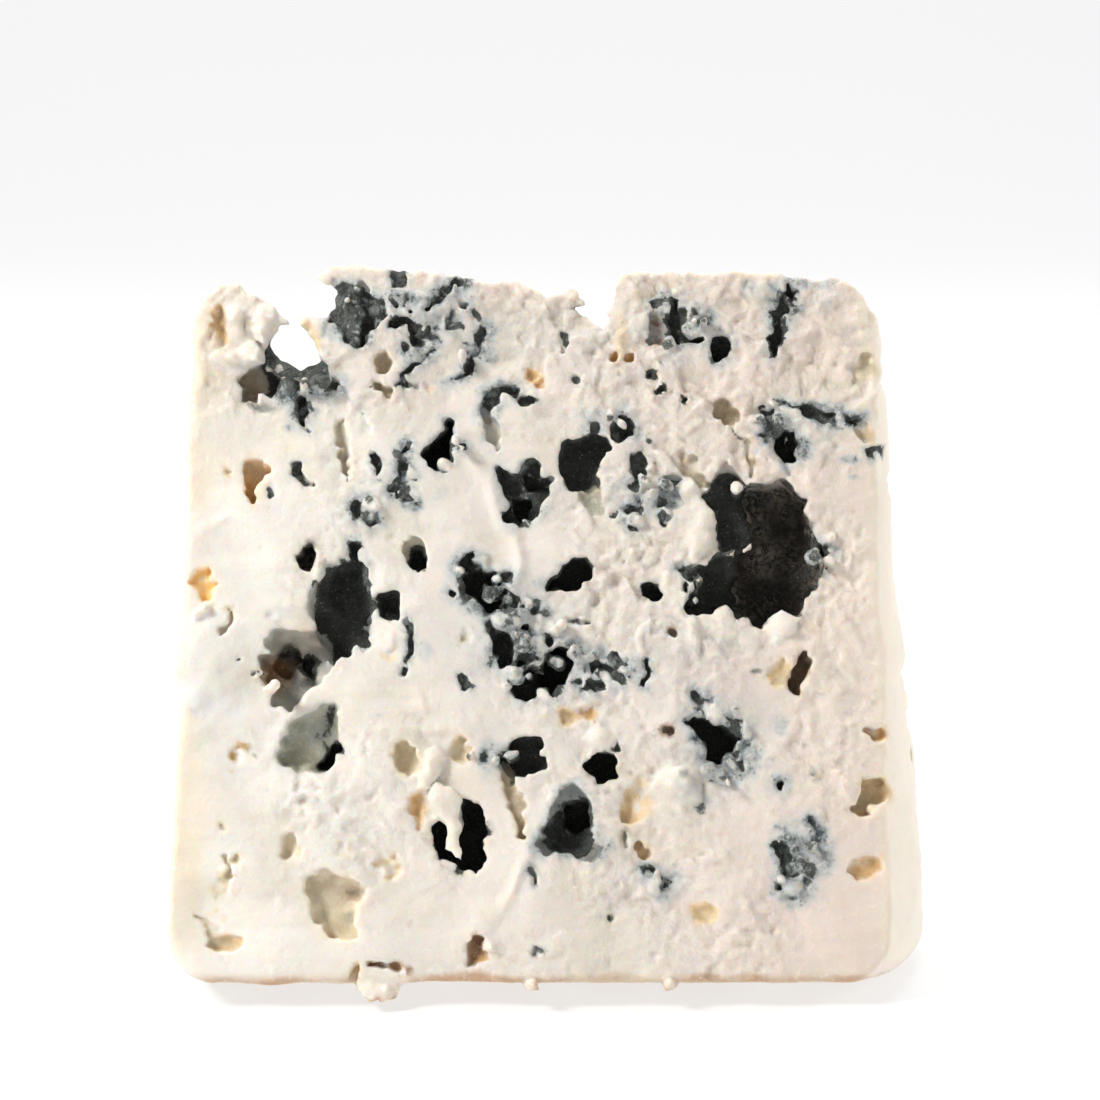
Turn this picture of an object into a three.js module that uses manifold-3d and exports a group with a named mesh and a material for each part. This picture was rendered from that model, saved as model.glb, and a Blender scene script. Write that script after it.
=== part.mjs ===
// A wedge of blue sheep's-milk cheese: a tenth of a wheel, standing on its rind with the wheel's centre on top.
// Millimetres, +Z up, X along the wheel's axis, -Y towards the front cut face, origin at the foot's centre.

import * as THREE from 'three';
import { mergeVertices } from 'three/addons/utils/BufferGeometryUtils.js';
import Module from 'manifold-3d';

// Driving dimensions of the wheel and of the cut
const WHEEL_RADIUS = 97;
const WHEEL_HALF_HEIGHT = 52.1;
const FACE_LEAN = THREE.MathUtils.degToRad(17.4);
const TIP_THICKNESS = 2;
const FLAT_SPOT = 0.8;
const AXIS_HEIGHT = WHEEL_RADIUS - FLAT_SPOT;

// The wheel's flat faces: how far each reaches, leans in towards the tip, and draws in at the cut edges
const LEFT = { reach: 51.9, taper: 2.5, drawIn: 0.4, perHalfDepth: 0.03 };
const RIGHT = { reach: 52.3, taper: 7, drawIn: 0.8, perHalfDepth: 0.235 };
const TAPER_FROM = 12;
const TAPER_TO = 84;

// Places on the cut faces are measured from this line, which stands this far from the middle
const FACE_MIDDLE = -0.5;

// Radii of the edges
const RIM_RADIUS = 6;
const TIP_CORNER_RADIUS = 6;
const CUT_EDGE_RADIUS = 0.9;

// The top edge: its full height along the face, and where the crumbly edge dips
const TOP_EDGE = 96.3;
const TOP_DIPS = [
  { x: -41, halfWidth: 9, depth: 2.2 },
  { x: -7, halfWidth: 5, depth: 1.3 },
  { x: 1, halfWidth: 3.5, depth: 2.4 },
  { x: 38, halfWidth: 4, depth: 0.6 },
];

// The slow swell of the two cut faces
const SWELL = { waves: 6, height: 0.16, longest: 46, growth: 1.32 };

// Grid of the body, in cells along X, up the face and through the wedge
const GRID = { along: 22, up: 20, through: 6, towardsEdges: 0.5, reachAtTip: 43.5, reachAtFoot: 50 };
const SURFACE_STEPS = 14;
const PROBE = 0.01;
const HALVINGS = 20;
const GOLDEN_ANGLE = Math.PI * (3 - Math.sqrt(5));

const SIN = Math.sin(FACE_LEAN);
const COS = Math.cos(FACE_LEAN);

// Each face turns a place on it, given across, upwards and into the cheese, into a point in space
const frontFace = {
  at: (x, v, depth) => new THREE.Vector3(
    FACE_MIDDLE + x,
    -(TIP_THICKNESS / 2 + (WHEEL_RADIUS - v) * SIN) + depth * COS,
    AXIS_HEIGHT - (WHEEL_RADIUS - v) * COS - depth * SIN,
  ),
};
const backFace = {
  at: (x, v, depth) => frontFace.at(x, v, depth).multiply(new THREE.Vector3(1, -1, 1)),
};
const throughTip = {
  at: (x, v, depth) => frontFace.at(x, v, 0).add(new THREE.Vector3(0, depth, 0)),
};
const rightFace = { at: (y, z, depth) => new THREE.Vector3(sideReach(y, z, 1) - depth, y, z) };
const leftFace = { at: (y, z, depth) => new THREE.Vector3(-sideReach(y, z, -1) + depth, y, z) };

function swell(x, v, phase) {
  let sum = 0;
  for (let i = 0; i < SWELL.waves; i += 1) {
    const turn = phase + i * GOLDEN_ANGLE;
    const pitch = (2 * Math.PI * SWELL.growth ** i) / SWELL.longest;
    sum += Math.sin(pitch * (x * Math.cos(turn) + v * Math.sin(turn)) + phase * (i + 1));
  }
  return SWELL.height * sum;
}

function halfDepth(z) {
  return TIP_THICKNESS / 2 + Math.max(AXIS_HEIGHT - z, 0) * Math.tan(FACE_LEAN);
}

// How far a flat face of the wheel reaches from the middle, at a height and a depth
function sideReach(y, z, side) {
  const face = side > 0 ? RIGHT : LEFT;
  const half = halfDepth(z);
  const edge = Math.min((y / half) ** 2, 1.5);
  const rise = THREE.MathUtils.clamp((z - TAPER_FROM) / (TAPER_TO - TAPER_FROM), 0, 1.2);
  return face.reach - face.taper * rise - (face.drawIn + face.perHalfDepth * half) * edge;
}

function topEdge(x) {
  let edge = TOP_EDGE;
  for (const dip of TOP_DIPS) {
    edge -= dip.depth * Math.exp(-(((x - FACE_MIDDLE - dip.x) / dip.halfWidth) ** 2));
  }
  return AXIS_HEIGHT - (WHEEL_RADIUS - edge) * COS;
}

// The larger of two distances, with the edge between their surfaces rounded
function roundedMax(a, b, radius) {
  const corner = Math.hypot(Math.max(a + radius, 0), Math.max(b + radius, 0));
  return Math.min(Math.max(a, b), -radius) + corner;
}

// Distance of a point to the uncut skin of the wedge, below zero inside
function wedgeDistance(p) {
  const v = WHEEL_RADIUS - (AXIS_HEIGHT - p.z) / COS;
  const lean = SIN * (p.z - AXIS_HEIGHT);
  const front = lean - COS * (p.y + TIP_THICKNESS / 2) - swell(p.x, v, 1);
  const back = lean + COS * (p.y - TIP_THICKNESS / 2) - swell(p.x, v, 2);
  const rind = Math.hypot(p.y, p.z - AXIS_HEIGHT) - WHEEL_RADIUS;
  const right = p.x - sideReach(p.y, p.z, 1);
  const left = -p.x - sideReach(p.y, p.z, -1);
  const rim = roundedMax(rind, Math.max(left, right), RIM_RADIUS);
  const outer = roundedMax(rim, p.z - topEdge(p.x), TIP_CORNER_RADIUS);
  const skin = roundedMax(Math.max(front, back), outer, CUT_EDGE_RADIUS);
  return Math.max(skin, -p.z);
}

function pullToSkin(p) {
  for (let i = 0; i < SURFACE_STEPS; i += 1) {
    const here = wedgeDistance(p);
    const slope = new THREE.Vector3();
    for (const axis of ['x', 'y', 'z']) {
      const beside = p.clone();
      beside[axis] += PROBE;
      slope[axis] = (wedgeDistance(beside) - here) / PROBE;
    }
    p.addScaledVector(slope, -here / Math.max(slope.lengthSq(), 0.25));
  }
  p.z = Math.max(p.z, 0);
  return p;
}

// A geometry with only its positions, its shared corners joined and its flat slivers dropped
function joinedGeometry(geometry) {
  const bare = geometry.clone();
  bare.deleteAttribute('normal');
  bare.deleteAttribute('uv');
  const joined = mergeVertices(bare, 1e-4);
  const index = joined.getIndex().array;
  const kept = [];
  for (let i = 0; i < index.length; i += 3) {
    const [a, b, c] = [index[i], index[i + 1], index[i + 2]];
    if (a !== b && b !== c && c !== a) kept.push(a, b, c);
  }
  joined.setIndex(kept);
  return joined;
}

function movePoints(geometry, move) {
  const position = geometry.getAttribute('position');
  const point = new THREE.Vector3();
  for (let i = 0; i < position.count; i += 1) {
    point.fromBufferAttribute(position, i);
    const moved = move(point);
    position.setXYZ(i, moved.x, moved.y, moved.z);
  }
  return geometry;
}

// Height of the tip edge over a place along the wheel's axis, its rounded corners included
function tipHeight(x) {
  let low = AXIS_HEIGHT / 2;
  let high = AXIS_HEIGHT;
  for (let i = 0; i < HALVINGS; i += 1) {
    const middle = (low + high) / 2;
    if (wedgeDistance(new THREE.Vector3(x, 0, middle)) < 0) {
      low = middle;
    } else {
      high = middle;
    }
  }
  return low;
}

// A box's grid is laid close to the wedge and then pulled onto its skin
function wedgeGeometry() {
  const box = new THREE.BoxGeometry(2, 2, 2, GRID.along, GRID.up, GRID.through);
  const crowd = (u) => THREE.MathUtils.lerp(u, Math.sin((u * Math.PI) / 2), GRID.towardsEdges);
  return movePoints(joinedGeometry(box), (corner) => {
    const down = (1 - crowd(corner.y)) / 2;
    const x = crowd(corner.x) * THREE.MathUtils.lerp(GRID.reachAtTip, GRID.reachAtFoot, down);
    const atTip = (AXIS_HEIGHT - tipHeight(x)) / COS;
    const fromTip = THREE.MathUtils.lerp(atTip, WHEEL_RADIUS, down);
    const half = TIP_THICKNESS / 2 + fromTip * SIN;
    return pullToSkin(new THREE.Vector3(x, -crowd(corner.z) * half, AXIS_HEIGHT - fromTip * COS));
  });
}

// Profiles of the hollows, from above the face down to the floor, as radius and depth shares
const PROFILES = {
  hole: [[1.03, -1], [1, 0.3], [0.74, 0.8]],
  bowl: [[1.12, -1], [0.9, 0.35], [0.5, 0.85]],
  through: [[1, -1], [1, 1]],
};
const LIFT = 2.2;
const OUTLINE_WAVER = 0.07;

// A hollow's outline: an oval drawn out into a number of corners
function outline(angle, hollow) {
  const seed = hollow.x * 0.7 + hollow.v * 1.3;
  const corners = (hollow.sharp ?? 0) * Math.cos((hollow.corners ?? 3) * (angle - (hollow.turn ?? 0)));
  const waver = OUTLINE_WAVER * (Math.sin(3 * angle + seed) + 0.7 * Math.sin(5 * angle + 2 * seed));
  return 1 + corners + waver;
}

// A closed solid that cuts a hollow into a face
function hollowGeometry(face, hollow) {
  const profile = PROFILES[hollow.profile ?? 'hole'];
  const sides = Math.round(THREE.MathUtils.clamp(4.4 + Math.sqrt(hollow.w * hollow.h) * 0.8, 6, 15));
  const rows = [[0, profile[0][1]], ...profile, [0, 1]];
  const points = rows.map(([radius, depth]) => new THREE.Vector2(radius, -depth));
  const lathe = new THREE.LatheGeometry(points.reverse(), sides);
  const tilt = THREE.MathUtils.degToRad(hollow.tilt ?? 0);
  return movePoints(joinedGeometry(lathe), (p) => {
    const angle = Math.atan2(p.x, p.z);
    const reach = Math.hypot(p.x, p.z) * outline(angle, hollow);
    const across = (reach * Math.cos(angle) * hollow.w) / 2;
    const upward = (reach * Math.sin(angle) * hollow.h) / 2;
    const depth = p.y > 0 ? -p.y * LIFT : -p.y * hollow.d;
    const sink = Math.max(depth, 0) / hollow.d;
    return face.at(
      hollow.x + across * Math.cos(tilt) - upward * Math.sin(tilt) + sink * (hollow.dx ?? 0),
      hollow.v + across * Math.sin(tilt) + upward * Math.cos(tilt) + sink * (hollow.dv ?? 0),
      depth,
    );
  });
}

// A crumb, flake or curl that stands on a face: an uneven egg, partly sunk
function lumpGeometry(face, lump) {
  const egg = new THREE.IcosahedronGeometry(1, lump.detail ?? 1);
  const tilt = THREE.MathUtils.degToRad(lump.tilt ?? 0);
  const seed = lump.x * 1.1 + lump.v * 0.9;
  return movePoints(joinedGeometry(egg), (p) => {
    const uneven = 1 + 0.08 * Math.sin(4 * p.x + seed) + 0.08 * Math.sin(5 * p.y + 2 * seed);
    const across = (p.x * uneven * lump.w) / 2;
    const upward = (p.y * uneven * lump.h) / 2;
    return face.at(
      lump.x + across * Math.cos(tilt) - upward * Math.sin(tilt),
      lump.v + across * Math.sin(tilt) + upward * Math.cos(tilt),
      (lump.sink ?? 0) - p.z * uneven * lump.t,
    );
  });
}

// A raised smear left by the knife: a flat rope along a curve on a face
function smearGeometry(face, smear) {
  const route = smear.route.map(([x, v]) => face.at(x, v, smear.sink ?? 0.3));
  const path = new THREE.CatmullRomCurve3(route, false, 'centripetal');
  const section = new THREE.Shape();
  section.absellipse(0, 0, smear.t, smear.w / 2, 0, Math.PI * 2);
  const steps = Math.round(path.getLength() / 3);
  const rope = new THREE.ExtrudeGeometry(section, { steps, extrudePath: path, curveSegments: 4 });
  return joinedGeometry(rope);
}

// Hollows of the front face: x from the middle, v up the face, w wide, h high, d deep, tilt in degrees
const frontHollows = [
  // The great hole and its mould-lined left side
  { x: 30.6, v: 57.6, w: 12.6, h: 19, d: 13 },
  { x: 25.8, v: 62.4, w: 7.6, h: 11.5, d: 6 },
  { x: 22.6, v: 53.2, w: 7.4, h: 7.6, d: 6.5 },
  // The mould-lined pit on the left and the brown pit that opens into it
  { x: -28, v: 51.6, w: 8.2, h: 15, d: 8, tilt: -6 },
  { x: -33.8, v: 42.8, w: 8.2, h: 8.4, d: 6, tilt: 15 },
  { x: -31.6, v: 32.6, w: 6.6, h: 8.8, d: 3.4, corners: 4, sharp: 0.06, turn: 0.9, tilt: -12 },
  { x: -28.8, v: 30.6, w: 1.9, h: 4.2, d: 5, tilt: -32 },
  // Dark holes of the upper half
  { x: -32, v: 56.9, w: 2.3, h: 3.8, d: 5, tilt: 20 },
  { x: -17.8, v: 57.1, w: 2.9, h: 4.9, d: 4, corners: 4, sharp: 0.12 },
  { x: -21.2, v: 50.7, w: 2.3, h: 3.4, d: 4, corners: 4, sharp: 0.1 },
  { x: -14.3, v: 71.9, w: 3.6, h: 7, d: 7, corners: 3, sharp: 0.16, turn: 1.57 },
  { x: 5, v: 70.2, w: 5.8, h: 7.2, d: 8, corners: 4, sharp: 0.08, turn: 0.8 },
  { x: 6.2, v: 65, w: 2.4, h: 4.4, d: 2.2, profile: 'bowl', tilt: 20 },
  { x: 10, v: 74.6, w: 2.4, h: 4.4, d: 3, corners: 4, sharp: 0.12 },
  { x: -3.2, v: 65.9, w: 5.2, h: 8, d: 6, corners: 3, sharp: 0.08, turn: 1.2 },
  { x: 3.2, v: 54.9, w: 2.6, h: 6.4, d: 5, tilt: -54 },
  { x: 14.2, v: 52.3, w: 2, h: 2.6, d: 3.5, corners: 3, sharp: 0.12, turn: 2.6 },
  { x: 16.5, v: 65.8, w: 3, h: 4.6, d: 1.8, profile: 'bowl' },
  { x: -5.9, v: 75.6, w: 2.4, h: 6.6, d: 2.4, tilt: 12 },
  // The mouldy cluster in the middle
  { x: -10.6, v: 56.1, w: 2.4, h: 2.2, d: 3 },
  { x: -9.6, v: 52.6, w: 3.4, h: 5, d: 5.5, tilt: -25 },
  { x: -7.1, v: 50.9, w: 3, h: 3.2, d: 4 },
  { x: -5.9, v: 45.2, w: 2.6, h: 4.6, d: 4 },
  { x: 1.4, v: 42, w: 4.8, h: 5.2, d: 6 },
  { x: -2.6, v: 40.4, w: 4.2, h: 4.2, d: 4 },
  // Dark holes of the lower half
  { x: 22.2, v: 32.4, w: 4, h: 7, d: 6, tilt: 36 },
  { x: 7.4, v: 28.8, w: 3.8, h: 3.5, d: 5.5, corners: 3, sharp: 0.1, turn: -0.6 },
  { x: -2.9, v: 30.2, w: 4.6, h: 4.3, d: 6, corners: 4, sharp: 0.06, turn: 0.6 },
  { x: -11.8, v: 20.2, w: 6.8, h: 10, d: 8 },
  { x: 3, v: 20.7, w: 6.8, h: 7.6, d: 7, corners: 3, sharp: 0.14, turn: 1.57 },
  { x: 34, v: 41, w: 2.6, h: 5.2, d: 6, tilt: -22 },
  // Clean pits with an amber glow
  { x: 43.3, v: 25.2, w: 3.8, h: 4.4, d: 3.2 },
  { x: -19.2, v: 30.2, w: 3.1, h: 4.3, d: 2.2, profile: 'bowl' },
  { x: -11.9, v: 30.9, w: 2.4, h: 3.6, d: 2, profile: 'bowl' },
  { x: -34.2, v: 18, w: 2.8, h: 3.4, d: 1.8, profile: 'bowl' },
  { x: -28.2, v: 10.4, w: 6.2, h: 8.2, d: 2.6, profile: 'bowl' },
  { x: -21.3, v: 15.6, w: 2.3, h: 2.8, d: 1.8, profile: 'bowl' },
  { x: -42.4, v: 5.8, w: 2.4, h: 2.8, d: 2, profile: 'bowl' },
  { x: 21.2, v: 9.5, w: 2.1, h: 3.1, d: 1.5, profile: 'bowl' },
  { x: 12.6, v: 17.9, w: 1.7, h: 2.4, d: 3, tilt: 30 },
  { x: -39.4, v: 67.9, w: 2.1, h: 5.4, d: 3.5 },
  { x: 43.8, v: 82.9, w: 2.4, h: 3.2, d: 1.8, profile: 'bowl' },
  { x: 24.3, v: 76.8, w: 2.2, h: 3.5, d: 3, tilt: 20 },
  // The top: mouldy channels and pits near the tip
  { x: 32.5, v: 72, w: 1.8, h: 5.4, d: 5 },
  { x: 37.6, v: 76.6, w: 9.5, h: 1.3, d: 1.6, tilt: -8 },
  { x: 17.8, v: 89.2, w: 1.9, h: 6, d: 2 },
  { x: 23.5, v: 85.9, w: 2.4, h: 3.2, d: 4 },
  { x: -38.8, v: 80.9, w: 5, h: 5, d: 4.5 },
  { x: -25.8, v: 90.3, w: 3.4, h: 6.4, d: 1.8 },
];

// Notches that go right through the thin tip
const tipNotches = [
  { x: -33.6, v: 91.6, w: 7.6, h: 15.4, d: 16, profile: 'through', tilt: 12 },
  { x: -37, v: 88.6, w: 2.6, h: 4.4, d: 12, profile: 'through', tilt: 35 },
  { x: 6, v: 93.6, w: 7.2, h: 9.6, d: 10, profile: 'through' },
];

// Crumbs and flakes of the front face: t is how far one stands proud
const frontLumps = [
  { x: -44.4, v: 42.6, w: 11, h: 15, t: 1.5, tilt: 12, sink: 0.6, detail: 2 },
  { x: -39, v: 89.2, w: 5, h: 5.4, t: 1.8, sink: 1 },
  { x: -42.6, v: 84.6, w: 6.4, h: 4, t: 1.4, sink: 0.8 },
  { x: -34.9, v: 81, w: 3, h: 3, t: 1.6, sink: 1.4 },
  { x: -31, v: 80.8, w: 3, h: 3.6, t: 1.8, sink: 1.4 },
  { x: -32.6, v: 88, w: 3.4, h: 5.6, t: 1.2, tilt: 40, sink: 1.2 },
  { x: -3, v: 45.5, w: 3.6, h: 3.2, t: 2, sink: 1 },
  { x: -13.6, v: 22.2, w: 3, h: 10.6, t: 1.6, tilt: -20, sink: 1 },
  { x: -16.6, v: 26.8, w: 2.8, h: 6.6, t: 1.3, tilt: -4, sink: 0.6 },
  { x: 7.2, v: 32.8, w: 4.6, h: 4.4, t: 1, sink: 0.5 },
  { x: 17.4, v: 26.4, w: 7.6, h: 7, t: 1.2, sink: 0.6 },
  { x: 20.6, v: 60.4, w: 5, h: 8.4, t: 1, sink: 0.5 },
  { x: -21.4, v: 46.4, w: 5, h: 5, t: 1, sink: 0.6 },
  { x: -22, v: 0.4, w: 7.8, h: 4.8, t: 1.8, sink: 1.6 },
  { x: 13.4, v: 88.8, w: 4.4, h: 5, t: 0.9, sink: 0.6 },
];

const frontSmears = [
  { w: 2.2, t: 0.9, route: [[-12.6, 72.6], [-9.4, 69.6], [-6.9, 64.6], [-5, 58], [-4.6, 52.6]] },
  { w: 1.8, t: 0.8, route: [[-3.4, 20], [-3.5, 15.6], [-5.8, 11.6], [-9.2, 8]] },
];

// The back cut face can't be seen in front: its hollows are drawn by a rule, of the same kinds and sizes
const BACK = { seed: 36, count: 16, least: 3, spread: 7, crowd: 2.2, margin: 6, tries: 400 };

// A repeatable stream of draws between 0 and 1
function drawStream(seed) {
  let state = seed >>> 0;
  return () => {
    state = (state + 0x6d2b79f5) >>> 0;
    let t = state;
    t = Math.imul(t ^ (t >>> 15), t | 1);
    t ^= t + Math.imul(t ^ (t >>> 7), t | 61);
    return ((t ^ (t >>> 14)) >>> 0) / 4294967296;
  };
}

function backHollows() {
  const draw = drawStream(BACK.seed);
  const found = [];
  for (let i = 0; i < BACK.tries && found.length < BACK.count; i += 1) {
    const w = BACK.least + BACK.spread * draw() ** BACK.crowd;
    const h = w * (0.8 + 0.9 * draw());
    const x = (2 * draw() - 1) * (WHEEL_HALF_HEIGHT - BACK.margin - w);
    const v = BACK.margin + h / 2 + draw() * (WHEEL_RADIUS - 24 - h);
    const tilt = 80 * (draw() - 0.5);
    const apart = found.every((o) => Math.hypot(x - o.x, v - o.v) > (w + h + o.w + o.h) / 3);
    const wedgeRoom = (WHEEL_RADIUS - v) * SIN * 0.8;
    if (apart) found.push({ x, v, w, h, tilt, d: Math.min(0.9 * w + 0.6, wedgeRoom) });
  }
  return found;
}

// Needle pricks run along the wheel's axis and open on both flat faces
const PRICK = { width: 2, depth: 5 };
const prickPlaces = [[-9, 30], [7, 18], [-2, 55]];

function prickHollows(shift) {
  return prickPlaces.map(([y, z]) => ({ x: y, v: z + shift, w: PRICK.width, h: PRICK.width, d: PRICK.depth }));
}

const wasm = await Module();
wasm.setup();

function solid(geometry) {
  const position = geometry.getAttribute('position');
  return new wasm.Manifold(new wasm.Mesh({
    numProp: 3,
    vertProperties: Float32Array.from(position.array),
    triVerts: Uint32Array.from(geometry.getIndex().array),
  }));
}

// Left-handed places turn a closed mesh inside out, so each tool is turned to face out
function outwardSolid(geometry) {
  const made = solid(geometry);
  if (made.volume() > 0) return made;
  const index = geometry.getIndex().array;
  for (let i = 0; i < index.length; i += 3) {
    [index[i], index[i + 1]] = [index[i + 1], index[i]];
  }
  return solid(geometry);
}

function bufferGeometry(manifold) {
  const mesh = manifold.getMesh();
  const geometry = new THREE.BufferGeometry();
  geometry.setAttribute('position', new THREE.BufferAttribute(Float32Array.from(mesh.vertProperties), 3));
  geometry.setIndex(new THREE.BufferAttribute(Uint32Array.from(mesh.triVerts), 1));
  geometry.computeVertexNormals();
  return geometry;
}

function carvedWedge() {
  let cheese = outwardSolid(wedgeGeometry());
  const cut = (face, hollow) => {
    cheese = cheese.subtract(outwardSolid(hollowGeometry(face, hollow)));
  };
  const join = (geometry) => {
    cheese = cheese.add(outwardSolid(geometry));
  };
  frontSmears.forEach((smear) => join(smearGeometry(frontFace, smear)));
  frontHollows.forEach((hollow) => cut(frontFace, hollow));
  tipNotches.forEach((notch) => cut(throughTip, notch));
  backHollows().forEach((hollow) => cut(backFace, hollow));
  prickHollows(0).forEach((prick) => cut(rightFace, prick));
  prickHollows(3).forEach((prick) => cut(leftFace, prick));
  frontLumps.forEach((lump) => join(lumpGeometry(frontFace, lump)));
  return bufferGeometry(cheese);
}

const paste = new THREE.MeshStandardMaterial({ color: '#ebe1d0', roughness: 0.6, metalness: 0 });
const wedge = new THREE.Mesh(carvedWedge(), paste);
wedge.name = 'cheese_wedge';

const group = new THREE.Group();
group.add(wedge);

export default group;
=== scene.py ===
"""A wedge of veined blue sheep's-milk cheese that stands on its rind, on a pale floor in soft studio light.

The paste is carved as a field of distances on a fine grid, and then turned into one mesh. Sizes are in
millimetres until the mesh is made. Places on a cut face are (x, v): across, and up from the rind.
"""

import math

import bpy
import numpy as np
import openvdb
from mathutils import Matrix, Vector


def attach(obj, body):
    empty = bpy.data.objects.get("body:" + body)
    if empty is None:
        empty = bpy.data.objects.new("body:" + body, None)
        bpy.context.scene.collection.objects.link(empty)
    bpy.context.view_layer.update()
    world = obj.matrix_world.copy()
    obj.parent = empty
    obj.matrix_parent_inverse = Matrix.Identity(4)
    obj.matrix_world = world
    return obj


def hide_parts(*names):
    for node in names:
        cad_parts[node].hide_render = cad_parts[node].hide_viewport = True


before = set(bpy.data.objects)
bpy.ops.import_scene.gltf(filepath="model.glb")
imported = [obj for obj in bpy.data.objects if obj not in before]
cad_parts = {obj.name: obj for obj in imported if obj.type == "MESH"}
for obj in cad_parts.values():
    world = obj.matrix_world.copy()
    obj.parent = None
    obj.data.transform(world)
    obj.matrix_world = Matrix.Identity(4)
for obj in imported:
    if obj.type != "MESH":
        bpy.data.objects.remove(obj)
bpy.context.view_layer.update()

MM = 0.001

# ---- The wheel and its cut, as in the solid ----
RADIUS = 97.0
LEAN = math.radians(17.4)
SIN, COS = math.sin(LEAN), math.cos(LEAN)
TIP_HALF = 1.0
AXIS_HEIGHT = 96.2
HALF_HEIGHT = 52.1
FACE_MIDDLE = -0.5
RIGHT = {"reach": 52.3, "taper": 7.0, "draw_in": 0.8, "per_depth": 0.235}
LEFT = {"reach": 51.9, "taper": 2.5, "draw_in": 0.4, "per_depth": 0.03}
TAPER_FROM, TAPER_TO = 12.0, 84.0
RIM_RADIUS = 6.0
CUT_EDGE_RADIUS = 0.8
PRICKS = [(-9, 30), (7, 18), (-2, 55)]
PRICK_RADIUS, PRICK_DEPTH = 1.0, 5.0

# Where the cut face is looked at from: the camera stands here
EYE = np.array([-0.1, -418.05, 130.51])
EYE_PITCH = math.radians(10)
LENS = 100

# ---- The grid ----
PITCH = 0.33
MAP_PITCH = PITCH / 2
FACES_KEPT = 196_000

xs = np.arange(-54.5, 54.6, PITCH, dtype=np.float32)
ys = np.arange(-32.5, 32.6, PITCH, dtype=np.float32)
zs = np.arange(-1.5, 98.0, PITCH, dtype=np.float32)
Y, Z = np.meshgrid(ys, zs, indexing="ij")

map_x = np.arange(2 * len(xs) - 1, dtype=np.float32) * MAP_PITCH + (xs[0] - FACE_MIDDLE)
map_v = np.arange(-6.0, 103.0, MAP_PITCH, dtype=np.float32)
MX, MV = np.meshgrid(map_x, map_v, indexing="ij")


def face_place(y, z):
    """Height up a cut face and depth below it, for places at y on that face's side of the wheel's axis."""
    v = RADIUS + (y + TIP_HALF) * SIN + (z - AXIS_HEIGHT) * COS
    return v, (y + TIP_HALF) * COS - (z - AXIS_HEIGHT) * SIN


# ---- Small tools of shape ----
def smooth(low, high, value):
    t = np.clip((value - low) / (high - low), 0, 1)
    return t * t * (3 - 2 * t)


def rounded_max(a, b, radius):
    corner = np.hypot(np.maximum(a + radius, 0), np.maximum(b + radius, 0))
    return np.minimum(np.maximum(a, b), -radius) + corner


def rounded_min(a, b, radius):
    return -rounded_max(-a, -b, radius)


def spline_rows(places, pitch):
    """Weights that spread a row of draws, one every pitch, smoothly over the places."""
    u = (places - places[0]) / pitch
    nodes = np.arange(int(u[-1]) + 4) - 1
    d = np.abs(u[:, None] - nodes[None, :])
    near = 2 / 3 - d * d + d**3 / 2
    return np.where(d < 1, near, np.where(d < 2, (2 - d) ** 3 / 6, 0)).astype(np.float32)


def noise(seed, pitches, *axes):
    """Smooth random heights of about 1 either way, with bumps as wide as the pitches."""
    if not hasattr(pitches, "__len__"):
        pitches = [pitches] * len(axes)
    rows = [spline_rows(a, p) for a, p in zip(axes, pitches)]
    draws = np.random.default_rng(seed).standard_normal([r.shape[1] for r in rows]).astype(np.float32)
    for r in rows:
        draws = np.tensordot(draws, r, (0, 1))
    return draws / 0.479 ** (len(axes) / 2)


def crumb_plates(seed, pitch, across, up):
    """Heights of a torn, crumbly surface: small tilted plates of random height, side by side."""
    rng = np.random.default_rng(seed)
    low_x, low_v = across.min(), up.min()
    size = (int(np.ptp(across) / pitch) + 4, int(np.ptp(up) / pitch) + 4)
    jitter, tilt = rng.random((2, *size), dtype=np.float32), rng.standard_normal((2, *size)).astype(np.float32)
    lift = rng.standard_normal(size).astype(np.float32)
    cx = ((across - low_x) / pitch).astype(int) + 1
    cv = ((up - low_v) / pitch).astype(int) + 1
    total, weights = 0, 1e-9
    for i in (-1, 0, 1):
        for j in (-1, 0, 1):
            cell = (cx + i, cv + j)
            dx = (across - low_x) / pitch - (cell[0] - 1 + jitter[0][cell])
            dv = (up - low_v) / pitch - (cell[1] - 1 + jitter[1][cell])
            weight = np.exp(-22 * (dx * dx + dv * dv))
            total = total + weight * (lift[cell] + 1.3 * (tilt[0][cell] * dx + tilt[1][cell] * dv))
            weights = weights + weight
    return total / weights


def oval(x, v, w, h=None, tilt=0.0, sides=12):
    """A closed outline: an oval w wide and h high."""
    h = h or w
    turn = math.radians(tilt)
    points = []
    for i in range(sides):
        a = 2 * math.pi * i / sides
        p, q = w / 2 * math.cos(a), h / 2 * math.sin(a)
        points.append((x + p * math.cos(turn) - q * math.sin(turn), v + p * math.sin(turn) + q * math.cos(turn)))
    return points


def cut_corners(points):
    """A closed outline with each corner cut off once, so that it looks drawn by hand."""
    softer = []
    for (ax, av), (bx, bv) in zip(points, points[1:] + points[:1]):
        softer += [(0.75 * ax + 0.25 * bx, 0.75 * av + 0.25 * bv), (0.25 * ax + 0.75 * bx, 0.25 * av + 0.75 * bv)]
    return softer


def outline_distance(points, across, up):
    """Distance to a closed outline, below zero inside it."""
    nearest = np.full(across.shape, 1e9, np.float32)
    inside = np.zeros(across.shape, bool)
    for (ax, av), (bx, bv) in zip(points, points[1:] + points[:1]):
        ex, ev = bx - ax, (bv - av) or 1e-6
        t = np.clip(((across - ax) * ex + (up - av) * ev) / (ex * ex + ev * ev), 0, 1)
        nearest = np.minimum(nearest, (across - ax - t * ex) ** 2 + (up - av - t * ev) ** 2)
        inside ^= ((av > up) != (bv > up)) & (across < ax + (up - av) / ev * ex)
    nearest = np.sqrt(nearest)
    return np.where(inside, -nearest, nearest)


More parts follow.
